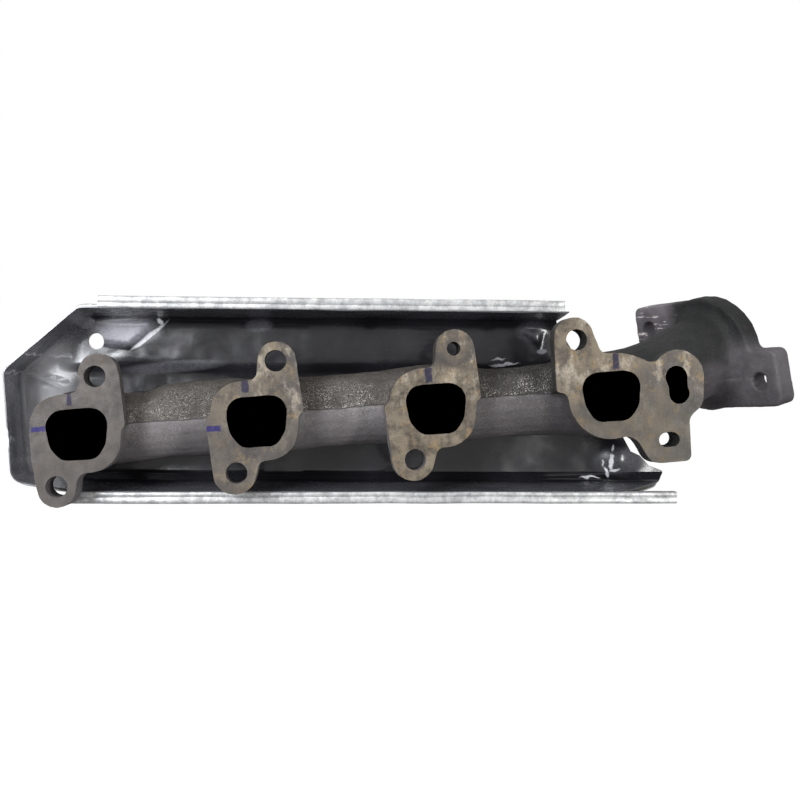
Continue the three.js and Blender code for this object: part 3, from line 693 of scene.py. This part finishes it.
def bright_sheet():
    """Aluminised steel: pale and mottled, with dark worn specks along its length."""
    s = Shader("sheet_bright")
    spangle = s.ramp(s.cells(260, output="Color"), 0.0, 1.0)
    mottle = s.cloud(150, 6, 0.7, 0.35, 0.68)
    s.colour = s.mix(mottle, (0.34, 0.34, 0.34), (0.8, 0.8, 0.79))
    s.coat(s.times(spangle, 0.22), (0.62, 0.63, 0.65))
    # The rims are the most worn; the walls and the back are calmer.
    back = s.ramp(s.y, 0.03, 0.038)
    s.coat(s.times(back, 0.72), (0.58, 0.58, 0.575))
    wear = s.ramp(s.noise(1.0, 5, 0.75, s.stretched(260, 900, 900)), 0.6, 0.72, 0.0, 0.7)
    s.coat(wear, (0.13, 0.12, 0.11))
    roughness = s.sum(s.ramp(mottle, 0.0, 1.0, 0.46, 0.3), s.times(wear, 0.2))
    height = s.sum(s.noise(320, 4, 0.6), s.times(spangle, 0.25))
    return s.finish(roughness, height, 0.00022, 0.7, Metallic=0.45)


def fibre():
    s = Shader("fibre_mat")
    strands = s.noise(1.0, 5, 0.7, s.stretched(300, 300, 1800))
    s.colour = s.mix(s.ramp(strands, 0.3, 0.7), (0.46, 0.42, 0.34), (0.74, 0.7, 0.6))
    return s.finish(0.95, strands, 0.0008, 0.9)


def zinc():
    s = Shader("zinc_steel")
    bloom = s.cloud(240, 5, 0.65, 0.35, 0.7)
    s.colour = s.mix(bloom, (0.44, 0.42, 0.35), (0.66, 0.64, 0.58))
    edges = s.worn_edges(0.52, 0.58, 0.6)
    s.coat(edges, (0.8, 0.79, 0.77))
    rust = s.cloud(700, 4, 0.7, 0.62, 0.72, 0.0, 0.6)
    s.coat(rust, (0.2, 0.1, 0.05))
    roughness = s.ramp(bloom, 0.0, 1.0, 0.34, 0.52)
    return s.finish(roughness, s.noise(1600, 3, 0.6), 0.00008, 0.6, Metallic=0.9)


def wire():
    s = Shader("wire_mesh")
    tone = s.noise(900, 4, 0.7)
    s.colour = s.mix(s.ramp(tone, 0.35, 0.65), (0.1, 0.095, 0.09), (0.42, 0.4, 0.37))
    return s.finish(0.5, tone, 0.0004, 0.9, Metallic=0.8)


RAW, MACHINED, SOOT = raw_iron(), machined_iron(), soot()
DARK, BRIGHT, FIBRE, ZINC, WIRE = dark_sheet(), bright_sheet(), fibre(), zinc(), wire()


# ---- The casting -----------------------------------------

VOXEL = 0.9
FILLET = 3.2
ROUND = 1.1
MILLING = 4.0  # how far the milled faces stand proud until they are cut back
KEPT_FACES = 0.31
# The sand's roughness: height, cell and seed of each layer of noise.
SAND = [(0.22, 7, 1), (0.10, 2.6, 2), (0.25, 19, 3)]


def offset_surface(points, triangles, quads, distance):
    """A closed surface moved outwards by a distance, through a level set."""
    grid = vdb.FloatGrid.createLevelSetFromPolygons(
        points.astype(np.float32),
        triangles=triangles.astype(np.uint32),
        quads=quads.astype(np.uint32),
        transform=vdb.createLinearTransform(voxelSize=VOXEL),
        halfWidth=abs(distance) / VOXEL + 2.0,
    )
    return grid.convertToPolygons(isovalue=distance, adaptivity=0.0)


def filleted(points, triangles):
    """The surface with fillets in its inner corners and small rounds on its outer ones."""
    quads = np.zeros((0, 4), int)
    for distance in (FILLET, -FILLET - ROUND, ROUND):
        points, triangles, quads = offset_surface(points, triangles, quads, distance)
    return points.astype(float), triangles, quads


def drilled_holes():
    """Every drilled or slotted hole: its outline, its near and far depth and its direction."""
    in_lugs = []
    for i, x in enumerate(PORT_X[:3]):
        upper, lower = (FIRST_UPPER_HOLE, FIRST_LOWER_HOLE) if i == 0 else (UPPER_HOLE, LOWER_HOLE)
        radius = LOCATING_RADIUS if i == 2 else BOLT_RADIUS
        in_lugs.append(circle(x + upper[0], upper[1], radius))
        in_lugs.append(circle(x + lower[0], lower[1], BOLT_RADIUS))
    end_x = PORT_X[3]
    in_lugs.append(circle(end_x + END_UPPER_HOLE[0], END_UPPER_HOLE[1], BOLT_RADIUS))
    slot_x = [end_x + END_SLOT[0] + side * END_SLOT_TRAVEL for side in (-1, 1)]
    in_lugs.append(belt([(x, END_SLOT[1], END_SLOT_RADIUS) for x in slot_x], 24))
    holes = [(ring, -DRILL_OVERRUN, LUG_DEPTH + DRILL_OVERRUN, along_y) for ring in in_lugs]
    for side in (-1, 1):
        ring = circle(side * OUTLET_HOLE[0], side * OUTLET_HOLE[1], OUTLET_HOLE_RADIUS)
        holes.append((ring, -DRILL_OVERRUN, OUTLET_THICKNESS + DRILL_OVERRUN, along_outlet))
    for x in FIXING_X:
        ring = circle(x, LOG_Z, THREAD_HOLE_RADIUS)
        holes.append((ring, LOG_Y + BORE_RADIUS + 2.5, PANEL_Y - 2, along_y))
    return holes


def elbow_line():
    """The elbow's centre line, from the log to past the outlet flange."""
    start = np.array([150.0, LOG_Y, LOG_Z])
    leave = start + [55, 0, -6]
    approach = OUTLET_CENTRE - 38 * OUTLET_OUT
    approach[2] = 13
    end = OUTLET_CENTRE + (OUTLET_THICKNESS + 2) * OUTLET_OUT
    t = np.linspace(0, 1, 40)[:, None]
    first_half = (1 - t) ** 3 * start + 3 * t * (1 - t) ** 2 * leave
    return first_half + 3 * t * t * (1 - t) * approach + t ** 3 * end


def in_passages(points):
    """Which points lie on the walls that the gas touches."""
    x, y, z = points.T
    near, deep = y > 0.4, y < LOG_Y + 2
    inside = np.zeros(len(points), bool)
    for port, shift in zip(PORT_X, CORE_SHIFT):
        inside |= near & deep & (outside_by(belt(PORT_CIRCLES) + [port + shift, 0], x, z) < 1.6)
    slot = belt(SLOT_CIRCLES) + [PORT_X[3], 0]
    inside |= near & deep & (outside_by(slot, x, z) < 1.2)
    inside |= (np.hypot(y - LOG_Y, z - LOG_Z) < BORE_RADIUS + 2.4) & (x < 170) & (x > -194.5)
    line = elbow_line()
    closest = np.min([np.linalg.norm(points - station, axis=1) for station in line], axis=0)
    height = (points - OUTLET_CENTRE) @ OUTLET_OUT
    inside |= (closest < OUTLET_BORE_RADIUS + 2.0) & (height < OUTLET_THICKNESS - 0.4)
    return inside


def on_machined(points):
    """Which points lie on a milled face."""
    height = (points - OUTLET_CENTRE) @ OUTLET_OUT
    return (points[:, 1] < 0.05) | (np.abs(height - OUTLET_THICKNESS) < 0.05)


# The log isn't a straight tube: where its top rises or sinks, half that length and by how much.
LOG_HUMPS = [(-98, 36, 2.8), (-140, 24, -2.4), (118, 44, -5.0)]


def hump(points):
    """How far each point of the log's upper half stands above a straight tube."""
    x, y, z = points.T
    raised = np.zeros(len(points))
    for middle, half_length, height in LOG_HUMPS:
        raised += height * np.clip(1 - ((x - middle) / half_length) ** 4, 0, 1) ** 2
    raised *= smooth_step(z, PARTING_Z, LOG_Z + BORE_RADIUS)
    return raised * smooth_step(y, LUG_DEPTH + 1, LUG_DEPTH + 12)


def parting_step(points):
    """How far the mould's upper half and the flash along its joint stand out."""
    z = points[:, 2]
    step = smooth_step(z + 0.5 * soft_noise(points, 12, 4), PARTING_Z - 0.8, PARTING_Z + 0.8) - 0.5
    flash = np.exp(-((z - PARTING_Z) / 0.7) ** 2) * (0.5 + 0.5 * soft_noise(points, 9, 5))
    outer = (points[:, 1] > 2) & ~in_passages(points)
    return np.where(outer, 0.7 * step + 0.45 * flash, 0)


def build_casting():
    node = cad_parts["manifold_casting"]
    mesh = node.data
    mesh.calc_loop_triangles()
    triangles = np.empty(len(mesh.loop_triangles) * 3, int)
    mesh.loop_triangles.foreach_get("vertices", triangles)
    points = read_points(node)
    # Milled faces start proud and are cut back, so that only they keep crisp edges.
    points[points[:, 1] < 0.01, 1] = -MILLING
    height = (points - OUTLET_CENTRE) @ OUTLET_OUT
    points[height > OUTLET_THICKNESS - 0.01] += MILLING * OUTLET_OUT
    points, triangles, quads = filleted(points, triangles.reshape(-1, 3))

    casting = new_piece("casting", points, quads.tolist() + triangles.tolist())
    thin = casting.modifiers.new("thin", "DECIMATE")
    thin.ratio = KEPT_FACES
    bake_modifiers(casting)

    points = read_points(casting)
    normals = read_vectors(casting.data.vertex_normals, "vector")
    skin = layered_noise(points, SAND) + parting_step(points)
    write_points(casting, points + normals * skin[:, None])

    wide = np.array([(-400, -300), (400, -300), (400, 300), (-400, 300)], float)
    cut(casting, wide, -30, 0, along_y)
    cut(casting, wide / 4, OUTLET_THICKNESS, 40, along_outlet)
    for hole in drilled_holes():
        cut(casting, *hole)
    drop_shards(casting)

    centres = to_row(read_vectors(casting.data.polygons, "center"))
    finish = np.where(in_passages(centres), 2, 0)
    finish[on_machined(centres)] = 1
    casting.data.materials.clear()
    for material in (RAW, MACHINED, SOOT):
        casting.data.materials.append(material)
    casting.data.polygons.foreach_set("material_index", finish.astype(np.int32))
    points = read_points(casting)
    points[:, 2] += hump(points)
    write_points(casting, points)
    smooth_with_creases(casting, 38)
    return casting


# ---- The heat shield -------------------------------------

# The raised pad: its outline, its height in the middle and its tilt along the length.
PAD = [(-181.5, 64.5), (-169.5, 44.8), (-147.0, 42.2), (-124.6, 60.9), (-127.5, 65.2)]
PAD_MIDDLE = -153
PAD_HEIGHT = 4.0
PAD_TILT = 0.10
TRIANGLE = [(120.6, 61.6), (124.3, 55.3), (138.7, 43.4), (142.2, 60.4)]
TRIANGLE_HEIGHT = 2.2
DIMPLES = [(-66.9, 62.3), (16.3, 61.8), (100.6, 61.0), (-175.5, 55.6)]
DIMPLE_HEIGHT = 1.1
DIMPLE_RADIUS = 3.2
UPPER_STEP, LOWER_STEP = 2.6, 2.4
BULGE_HEIGHT = 6.0
# Pleats at the left end, where the blank was gathered: from one end to the other.
PLEATS = [((-221, 26), (-190, 20.5)), ((-220, 25.5), (-195, 16.0)), ((-212, 37.5), (-188, 37.5))]
PLEAT_HEIGHT = 1.5
# Waves left in the panel and in the walls: height, cell and seed of each layer.
PANEL_WAVES = [(1.0, 55, 13), (0.30, 21, 14), (0.14, 8, 15)]
WALL_WAVES = [(0.7, 26, 21), (0.25, 9, 22)]
# Where the panel needs a finer mesh: the lower left and upper right corner of each patch.
FINE_PATCHES = [((-226, 10), (-180, 45)), ((-180, 38), (-118, 68)), ((112, 38), (148, 66))]


def plateau(x, z, corners, bevel):
    """1 inside a convex polygon, sloping to 0 at its edge."""
    return smooth_step(-outside_by(np.array(corners, float), x, z), 0, bevel)


def pleat(x, z, start, end):
    """A narrow ridge along a line, 1 at its crest, that tapers to both ends."""
    length = np.linalg.norm(end - start)
    along_x, along_z = (end - start) / length
    along = ((x - start[0]) * along_x + (z - start[1]) * along_z) / length
    across = (z - start[1]) * along_x - (x - start[0]) * along_z
    return np.exp(-(across / 1.2) ** 2) * np.clip(np.sin(math.pi * np.clip(along, 0, 1)), 0, 1)


def pressed(x, z):
    """How far the pressing brings the panel forwards at each shield point."""
    points = np.stack([x, z, np.zeros_like(x)], axis=1)
    forwards = (PAD_HEIGHT + PAD_TILT * (x - PAD_MIDDLE)) * plateau(x, z, PAD, 5.5)
    forwards += TRIANGLE_HEIGHT * plateau(x, z, TRIANGLE, 5.0)
    for dx, dz in DIMPLES:
        forwards += DIMPLE_HEIGHT * np.exp(-(np.hypot(x - dx, z - dz) / DIMPLE_RADIUS) ** 4)
    # Long steps above and below the log.
    upper = smooth_step(z + 1.2 * soft_noise(points, 45, 11), 27, 33)
    forwards += UPPER_STEP * upper * smooth_step(x, -200, -180)
    forwards += LOWER_STEP * smooth_step(-z + 0.8 * soft_noise(points, 45, 12), 42.0, 45.0)
    # A bulge at the lower right and pleats at the left end.
    forwards += BULGE_HEIGHT * np.exp(-(((x - 196) / 13) ** 2 + ((z + 32) / 12) ** 2))
    for start, end in PLEATS:
        forwards += PLEAT_HEIGHT * pleat(x, z, np.array(start), np.array(end))
    forwards += layered_noise(points, PANEL_WAVES)
    for fx in FIXING_X:
        sx, sz = lean_back(fx, LOG_Z)
        forwards *= smooth_step(np.hypot(x - sx, z - sz), 12, 22)
    return forwards


def pan_ring(inset, y):
    """The pan's outline moved inwards, with round corners, as evenly spaced points."""
    corners = [np.array(c, float) for c in PAN_CORNERS]
    radius = max(PAN_CORNER - inset, PANEL_CORNER)
    arcs = []
    for i, corner in enumerate(corners):
        arriving = corner - corners[i - 1]
        leaving = corners[(i + 1) % len(corners)] - corner
        arriving, leaving = arriving / np.linalg.norm(arriving), leaving / np.linalg.norm(leaving)
        half_turn = math.acos(arriving @ leaving) / 2
        bisector = (leaving - arriving) / np.linalg.norm(leaving - arriving)
        centre = corner + bisector * (inset + radius) / math.cos(half_turn)
        spokes = [half_turn * step / 3 for step in range(-3, 4)]
        arcs.append([centre - radius * turned_by(bisector, spoke) for spoke in spokes])
    ring = []
    for i, arc in enumerate(arcs):
        following = arcs[(i + 1) % len(arcs)][0]
        length = np.linalg.norm(corners[(i + 1) % len(corners)] - corners[i])
        pieces = max(2, round(length / 3.5))
        ring += arc
        ring += [arc[-1] + (following - arc[-1]) * k / pieces for k in range(1, pieces)]
    return at_depth(np.array(ring), y)


def turned_by(vector, turn):
    c, s = math.cos(turn), math.sin(turn)
    return np.array([vector[0] * c - vector[1] * s, vector[0] * s + vector[1] * c])


def grid_over(low, high, pitch):
    u, v = np.meshgrid(np.arange(low[0], high[0], pitch), np.arange(low[1], high[1], pitch))
    return np.stack([u.ravel(), v.ravel()], axis=1)


def panel_fill(ring, pitch=3.0):
    """Triangles over the inside of a ring, on a grid that is finer where the panel is pressed."""
    outline = ring[:, [0, 2]]
    grid = grid_over(outline.min(0), outline.max(0), pitch)
    fine = np.zeros(len(grid), bool)
    patches = []
    for low, high in FINE_PATCHES:
        fine |= np.all((grid > low) & (grid < high), axis=1)
        patches.append(grid_over(low, high, pitch / 3))
    grid = np.vstack([grid[~fine]] + patches)
    grid = grid[outside_by(outline, grid[:, 0], grid[:, 1]) < -0.6 * pitch]
    flat = [Vector(p) for p in np.vstack([outline, grid])]
    count = len(outline)
    loop = [(i, (i + 1) % count) for i in range(count)]
    found = delaunay_2d_cdt(flat, loop, [], 1, 1e-4)
    return np.array([tuple(p) for p in found[0]]), [list(f) for f in found[2]], found[3]


def pan_sheet(name, margin, rim_margin, thickness, front_y, materials):
    """One layer of the pan: an open skin through rings, filled by the panel, then thickened.

    The margin by which the layer stands outside the inner skin may be smaller along the rim.
    """
    draft = WALL_DRAFT / (PANEL_Y - PANEL_BEND - RIM_Y)
    bend = PANEL_BEND + margin
    levels = []
    for y in np.linspace(front_y, PANEL_Y - PANEL_BEND, 17):
        grown = np.interp(y, (RIM_Y + PINCH_START, RIM_Y + PINCH_END), (rim_margin, margin))
        levels.append((draft * (y - RIM_Y) - grown, y))
    for turn in np.linspace(0, math.pi / 2, 9)[1:]:
        inset = WALL_DRAFT - margin + bend * (1 - math.cos(turn))
        levels.append((inset, PANEL_Y - PANEL_BEND + bend * math.sin(turn)))
    rings = [pan_ring(inset, y) for inset, y in levels]
    count = len(rings[0])
    faces = ring_faces(count, len(rings))
    filled, triangles, sources = panel_fill(rings[-1])
    base = (len(rings) - 1) * count
    start = len(rings) * count
    # Points of the fill that came from the ring are the ring's own.
    owner = [base + src[0] if src and src[0] < count else start + i for i, src in enumerate(sources)]
    points = np.vstack(rings + [at_depth(filled, rings[-1][0, 1])])
    faces += [[owner[i] for i in face] for face in triangles]
    x, y, z = points.T
    depth = smooth_step(y, PANEL_Y - PANEL_BEND - 6, PANEL_Y - 1)
    points[:, 1] -= pressed(x, z) * depth
    points += dents(points, margin)
    return thickened(name, points, faces, thickness, materials)


def dents(points, margin):
    """Small waves in the walls, square to each wall, that fade out at the panel and the rim."""
    x, y, z = points.T
    fade = smooth_step(y, RIM_Y, RIM_Y + 12) * (1 - smooth_step(y, PANEL_Y - 14, PANEL_Y - 4))
    wave = layered_noise(points * [1, 1, 0.2], WALL_WAVES)
    moved = np.zeros_like(points)
    moved[:, 2] = wave * fade * np.sign(z) * -1
    left = x < -195
    moved[left, 0] = (wave * fade)[left]
    moved[left, 2] = 0
    return moved


def thickened(name, points, faces, thickness, materials):
    piece = new_piece(name, lean(points), faces, materials)
    with editing(piece) as mesh:
        loose = [v for v in mesh.verts if not v.link_faces]
        bmesh.ops.delete(mesh, geom=loose, context="VERTS")
        bmesh.ops.recalc_face_normals(mesh, faces=mesh.faces)
        rearmost = max(mesh.faces, key=lambda f: f.calc_center_median().y)
        if rearmost.normal.y < 0:
            bmesh.ops.reverse_faces(mesh, faces=mesh.faces)
    solid = piece.modifiers.new("solid", "SOLIDIFY")
    solid.thickness = thickness * MM
    solid.offset = 1.0
    solid.use_even_offset = True
    bake_modifiers(piece)
    return piece


def swept(name, section, start, end, seed, materials):
    """A strip with a closed section of (y, z) points, along the shield's length, slightly wavy."""
    stations = np.linspace(start, end, max(2, round((end - start) / 4)))
    count = len(section)
    points = np.array([(x, y, z) for x in stations for y, z in section])
    wave = soft_noise(points * [1, 0, 0] + [0, seed, 0], 40, seed)
    points[:, 1] += 0.35 * wave
    points[:, 2] += 0.3 * soft_noise(points * [1, 0, 0] + [0, seed, 0], 28, seed + 1)
    faces = [list(range(count)), list(range(len(points) - 1, len(points) - count - 1, -1))]
    faces += ring_faces(count, len(stations))
    return face_outwards(new_piece(name, lean(points), faces, materials))


def inner_rim(edge, side):
    """The inner skin's flat rim beyond one edge of the pan."""
    near, far = edge - side * 0.1, edge + side * (RAIL_WIDTH - 1)
    return [(RIM_Y, near), (RIM_Y + SHEET, near), (RIM_Y + SHEET, far), (RIM_Y, far)]


def outer_hem(edge, side):
    """The outer skin's rim, folded forwards over the inner skin's."""
    back, front = RIM_Y + 2 * SHEET + GAP, RIM_Y - SHEET - GAP
    outer, middle = (back - front) / 2, (back + front) / 2
    root = edge + side * (SHEET + GAP + 0.1)
    fold = edge + side * (RAIL_WIDTH - outer)
    lip = edge + side * 0.4
    turns = np.linspace(0, math.pi, 9)
    section = [(back, root), (back, fold)]
    section += [(middle + outer * math.cos(t), fold + side * outer * math.sin(t)) for t in turns[1:-1]]
    # A crease runs along the middle of the lip.
    crease = (fold + lip) / 2
    section += [(front, fold), (front, crease + side * 0.7)]
    section += [(front + 0.45, crease), (front, crease - side * 0.7)]
    section += [(front, lip + side * 0.3), (front + 0.25, lip)]
    section += [(front + SHEET, lip), (front + SHEET, fold)]
    inner = outer - SHEET
    turns = turns[::-1]
    section += [(middle + inner * math.cos(t), fold + side * inner * math.sin(t)) for t in turns[1:-1]]
    section += [(back - SHEET, fold), (back - SHEET, root)]
    return section


def trim_right_end(piece, margin):
    """Cuts away everything right of the pan's slanting end; the bottom wall is cut back further."""
    panel = np.array(RIGHT_OF_PANEL, float) - [margin, 0]
    cut(piece, panel, 0, 120, along_shield_y)
    wall = np.array(RIGHT_OF_WALL, float) - [margin, 0]
    cut(piece, wall, PAN_BOTTOM - 20, PAN_BOTTOM + 10, along_shield_z)


def shield_layer(name, margin, rim_margin, thickness, front_y, trim, materials):
    layer = pan_sheet(name, margin, rim_margin, thickness, front_y, materials)
    trim_right_end(layer, trim)
    holes = [(*lean_back(x, LOG_Z), SHIELD_HOLE_RADIUS) for x in FIXING_X]
    holes.append((*lean_back(*DRAIN_HOLE), DRAIN_RADIUS))
    for x, z, radius in holes:
        cut(layer, circle(x, z, radius), PANEL_Y - 12, PANEL_Y + 20, along_shield_y)
    return layer


def add_rails(layer, section, seed, materials):
    for edge, side, span in ((PAN_TOP, 1, TOP_RAIL), (PAN_BOTTOM, -1, BOTTOM_RAIL)):
        combine(layer, swept("rail", section(edge, side), *span, seed, materials), "UNION")


# ---- The fixings -----------------------------------------

def turned(name, x, profile, segments, material, ripple=None):
    """A solid of revolution about Y through a fixing, from a closed profile of (radius, y) points."""
    turns = np.linspace(0, 2 * math.pi, segments, endpoint=False)
    points = []
    for turn in turns:
        for i, (radius, y) in enumerate(profile):
            r, dy = ripple(turn, i, radius) if ripple else (radius, 0.0)
            points.append((x + r * math.cos(turn), y + dy, LOG_Z + r * math.sin(turn)))
    count = len(profile)
    faces = []
    for k in range(segments):
        a, b = k * count, ((k + 1) % segments) * count
        faces += [[a + i, a + (i + 1) % count, b + (i + 1) % count, b + i] for i in range(count)]
    return face_outwards(new_piece(name, points, faces, [material]))


def softened(profile, size):
    """A closed profile with each corner cut by a small chamfer."""
    corners = [np.array(p, float) for p in profile]
    soft = []
    for i, corner in enumerate(corners):
        for other in (corners[i - 1], corners[(i + 1) % len(corners)]):
            away = other - corner
            length = np.linalg.norm(away)
            soft.append(tuple(corner + away / length * min(size, length / 3)))
    return soft


def node_span(name):
    low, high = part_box(name)
    return low.y / MM, high.y / MM


def build_sleeve(i, x):
    foot, top = node_span(f"shield_sleeve_{i}")
    step = foot + FOOT_THICKNESS
    profile = [(BORE_OF_FIXING, foot), (FOOT_RADIUS, foot), (FOOT_RADIUS, step)]
    profile += [(SLEEVE_RADIUS, step), (SLEEVE_RADIUS, top), (BORE_OF_FIXING, top)]
    return turned(f"sleeve_{i}", x, softened(profile, 0.25), 48, ZINC)


def build_washer(i, x):
    near, far = node_span(f"shield_washer_{i}")
    profile = [(BORE_OF_FIXING, near), (WASHER_RADIUS, near)]
    profile += [(WASHER_RADIUS, far), (BORE_OF_FIXING, far)]
    return turned(f"washer_{i}", x, softened(profile, 0.3), 56, ZINC)


def build_mesh_ring(i, x):
    near, far = node_span(f"shield_mesh_ring_{i}")
    front, back = PANEL_Y - GAP, far - RING_LIP
    profile = [(RING_BORE, near), (RING_RIM, near), (RING_RIM, front), (RING_NECK, front)]
    profile += [(RING_NECK, back), (RING_RIM, back), (RING_RIM, far), (RING_BORE, far)]
    dense = []
    for k, corner in enumerate(profile):
        following = profile[(k + 1) % len(profile)]
        steps = max(1, round(math.dist(corner, following) / 0.7))
        way = np.array(following) - corner
        dense += [tuple(np.array(corner) + way * step / steps) for step in range(steps)]

    def knit(turn, row, radius):
        wave = math.sin(46 * turn + (row % 2) * math.pi)
        return radius + 0.16 * wave - 0.12, 0.12 * math.cos(23 * turn + row)

    return turned(f"mesh_ring_{i}", x, dense, 184, WIRE, knit)


def build_bolt(i, x):
    """A flanged hexagon bolt with a threaded shank."""
    tip, top = node_span(f"shield_bolt_{i}")
    seat = top - HEAD_HEIGHT
    profile = [(0.01, tip), (2.4, tip)]
    y = tip + 0.6
    while y < seat - 1.2:
        profile += [(THREAD_CREST, y), (THREAD_ROOT, y + THREAD_PITCH / 2)]
        y += THREAD_PITCH
    profile += [(2.9, seat - 0.6), (2.9, seat), (6.6, seat), (6.8, seat + 0.3)]
    profile += [(6.7, seat + 0.9), (5.0, seat + 1.6), (0.01, seat + 1.6)]
    bolt = turned(f"bolt_{i}", x, profile, 48, ZINC)
    combine(bolt, build_hexagon(x, seat + 1.2, top, math.radians(13 * i)), "UNION")
    return bolt


def build_hexagon(x, low, top, tightened):
    """A hexagon head whose corners are chamfered towards its top."""
    count = 72
    rings = ((low, ACROSS_FLATS), (top - 0.9, ACROSS_FLATS), (top - 0.25, 5.25), (top, 4.6))
    points = []
    for y, widest in rings:
        for k in range(count):
            turn = 2 * math.pi * k / count
            from_flat = turn % (math.pi / 3) - math.pi / 6
            radius = min(ACROSS_FLATS / 2 / math.cos(from_flat), widest)
            turn += tightened
            points.append((x + radius * math.cos(turn), y, LOG_Z + radius * math.sin(turn)))
    faces = [list(range(count)), list(range(4 * count - 1, 3 * count - 1, -1))]
    faces += ring_faces(count, len(rings))
    return face_outwards(new_piece("hexagon", points, faces, [ZINC]))


# ---- Assembly --------------------------------------------

def settle(piece, node, crease):
    smooth_with_creases(piece, crease)
    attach(piece, "root")
    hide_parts(node)


settle(build_casting(), "manifold_casting", 38)

inner = shield_layer("inner_skin", 0, 0, SHEET, RIM_Y, 0, [DARK])
add_rails(inner, inner_rim, 31, [DARK])
settle(inner, "shield_inner_skin", 40)

mat_margin = SHEET + GAP
mat = shield_layer("insulation", mat_margin, mat_margin, MAT, RIM_Y + PINCH_END + 1, 8, [FIBRE])
settle(mat, "shield_insulation", 40)

outer_margin = SHEET + MAT + 2 * GAP
outer = shield_layer("outer_skin", outer_margin, SHEET + GAP, SHEET, RIM_Y + SHEET + GAP, 3, [BRIGHT])
left_end = np.array([(-240, -70), (LEFT_END, -70), (LEFT_END, 80), (-240, 80)], float)
cut(outer, left_end, RIM_Y - 1, RIM_Y + RIM_SETBACK, along_shield_y)
add_rails(outer, outer_hem, 41, [BRIGHT])
settle(outer, "shield_outer_skin", 40)

for i, x in enumerate(FIXING_X, start=1):
    settle(build_sleeve(i, x), f"shield_sleeve_{i}", 30)
    settle(build_mesh_ring(i, x), f"shield_mesh_ring_{i}", 60)
    settle(build_washer(i, x), f"shield_washer_{i}", 30)
    settle(build_bolt(i, x), f"shield_bolt_{i}", 30)


# ---- Stage, lights and camera ----------------------------

CAMERA_PLACE = (-0.08889, -0.76009, -0.00530)
CAMERA_YAW = math.radians(3.946)  # from +Y towards +X
CAMERA_PITCH = math.radians(-0.988)
CAMERA_ROLL = math.radians(-3.976)
CAMERA_SENSOR = 36
CAMERA_LENS = 54
FLOOR_DROP = 0.30
FLOOR_GLOW = 0.45
BACKDROP = 1.0
GLOW_ABOVE = 0.70
GLOW_BELOW = 0.22
# Each light's name, place, aim, width and height in metres, power in watts and colour.
LIGHTS = [
    ("key", (-0.45, -0.9, 1.0), (-0.05, 0, 0), 0.8, 0.5, 6, (1, 1, 1)),
    ("left_box", (-0.53, -0.84, 0.22), (-0.25, 0, 0.02), 0.26, 0.36, 7, (0.93, 0.95, 1.0)),
    ("right_strip", (0.55, -0.85, -0.10), (0.1, 0, 0), 0.12, 0.5, 4, (1, 1, 1)),
]


def build_stage():
    floor_z = cad_bounds[0][2] - FLOOR_DROP
    ring = circle(0, 0, 12000, 96)
    points = np.stack([ring[:, 0], ring[:, 1], np.full(len(ring), floor_z / MM)], axis=1) + DATUM
    s = Shader("floor_paint")
    s.set(Base_Color=s.mix(s.noise(3, 3, 0.5), (0.90, 0.90, 0.89), (0.93, 0.93, 0.92)), Roughness=0.75)
    s.set(Emission_Color=(1, 1, 1, 1), Emission_Strength=FLOOR_GLOW)
    floor = new_piece("floor", points, [list(range(len(ring)))], [s.material])
    floor.visible_diffuse = False
    floor.visible_glossy = False


def add_light(name, place, aim, width, height, power, colour):
    data = bpy.data.lights.new(name, "AREA")
    data.shape = "RECTANGLE"
    data.size, data.size_y = width, height
    data.energy = power
    data.color = colour
    lamp = add_object(name, data)
    lamp.location = place
    lamp.rotation_euler = (Vector(aim) - Vector(place)).to_track_quat("-Z", "Y").to_euler()


def build_world():
    """White behind the object; as a light it is bright overhead and dim below."""
    world = bpy.data.worlds.new("studio")
    bpy.context.scene.world = world
    world.use_nodes = True
    nodes, links = world.node_tree.nodes, world.node_tree.links
    direction = nodes.new("ShaderNodeSeparateXYZ")
    links.new(nodes.new("ShaderNodeTexCoord").outputs["Generated"], direction.inputs[0])
    glow = nodes.new("ShaderNodeMapRange")
    links.new(direction.outputs["Z"], glow.inputs["Value"])
    spread = {"From Min": -0.5, "From Max": 0.9, "To Min": GLOW_BELOW, "To Max": GLOW_ABOVE}
    for key, value in spread.items():
        glow.inputs[key].default_value = value
    seen = nodes.new("ShaderNodeMix")
    links.new(nodes.new("ShaderNodeLightPath").outputs["Is Camera Ray"], seen.inputs["Factor"])
    links.new(glow.outputs["Result"], seen.inputs["A"])
    seen.inputs["B"].default_value = BACKDROP
    background = nodes["Background"]
    background.inputs["Color"].default_value = (1.0, 1.0, 1.0, 1.0)
    links.new(seen.outputs["Result"], background.inputs["Strength"])


def build_camera():
    data = bpy.data.cameras.new("camera")
    data.sensor_width = CAMERA_SENSOR
    data.lens = CAMERA_LENS
    data.clip_start = 0.01
    camera = add_object("camera", data)
    turn = Matrix.Rotation(-CAMERA_YAW, 4, "Z") @ Matrix.Rotation(math.pi / 2 + CAMERA_PITCH, 4, "X")
    camera.matrix_world = Matrix.Translation(CAMERA_PLACE) @ turn @ Matrix.Rotation(CAMERA_ROLL, 4, "Z")
    bpy.context.scene.camera = camera


build_stage()
build_world()
for light in LIGHTS:
    add_light(*light)
build_camera()
bpy.context.scene.view_settings.view_transform = "Standard"
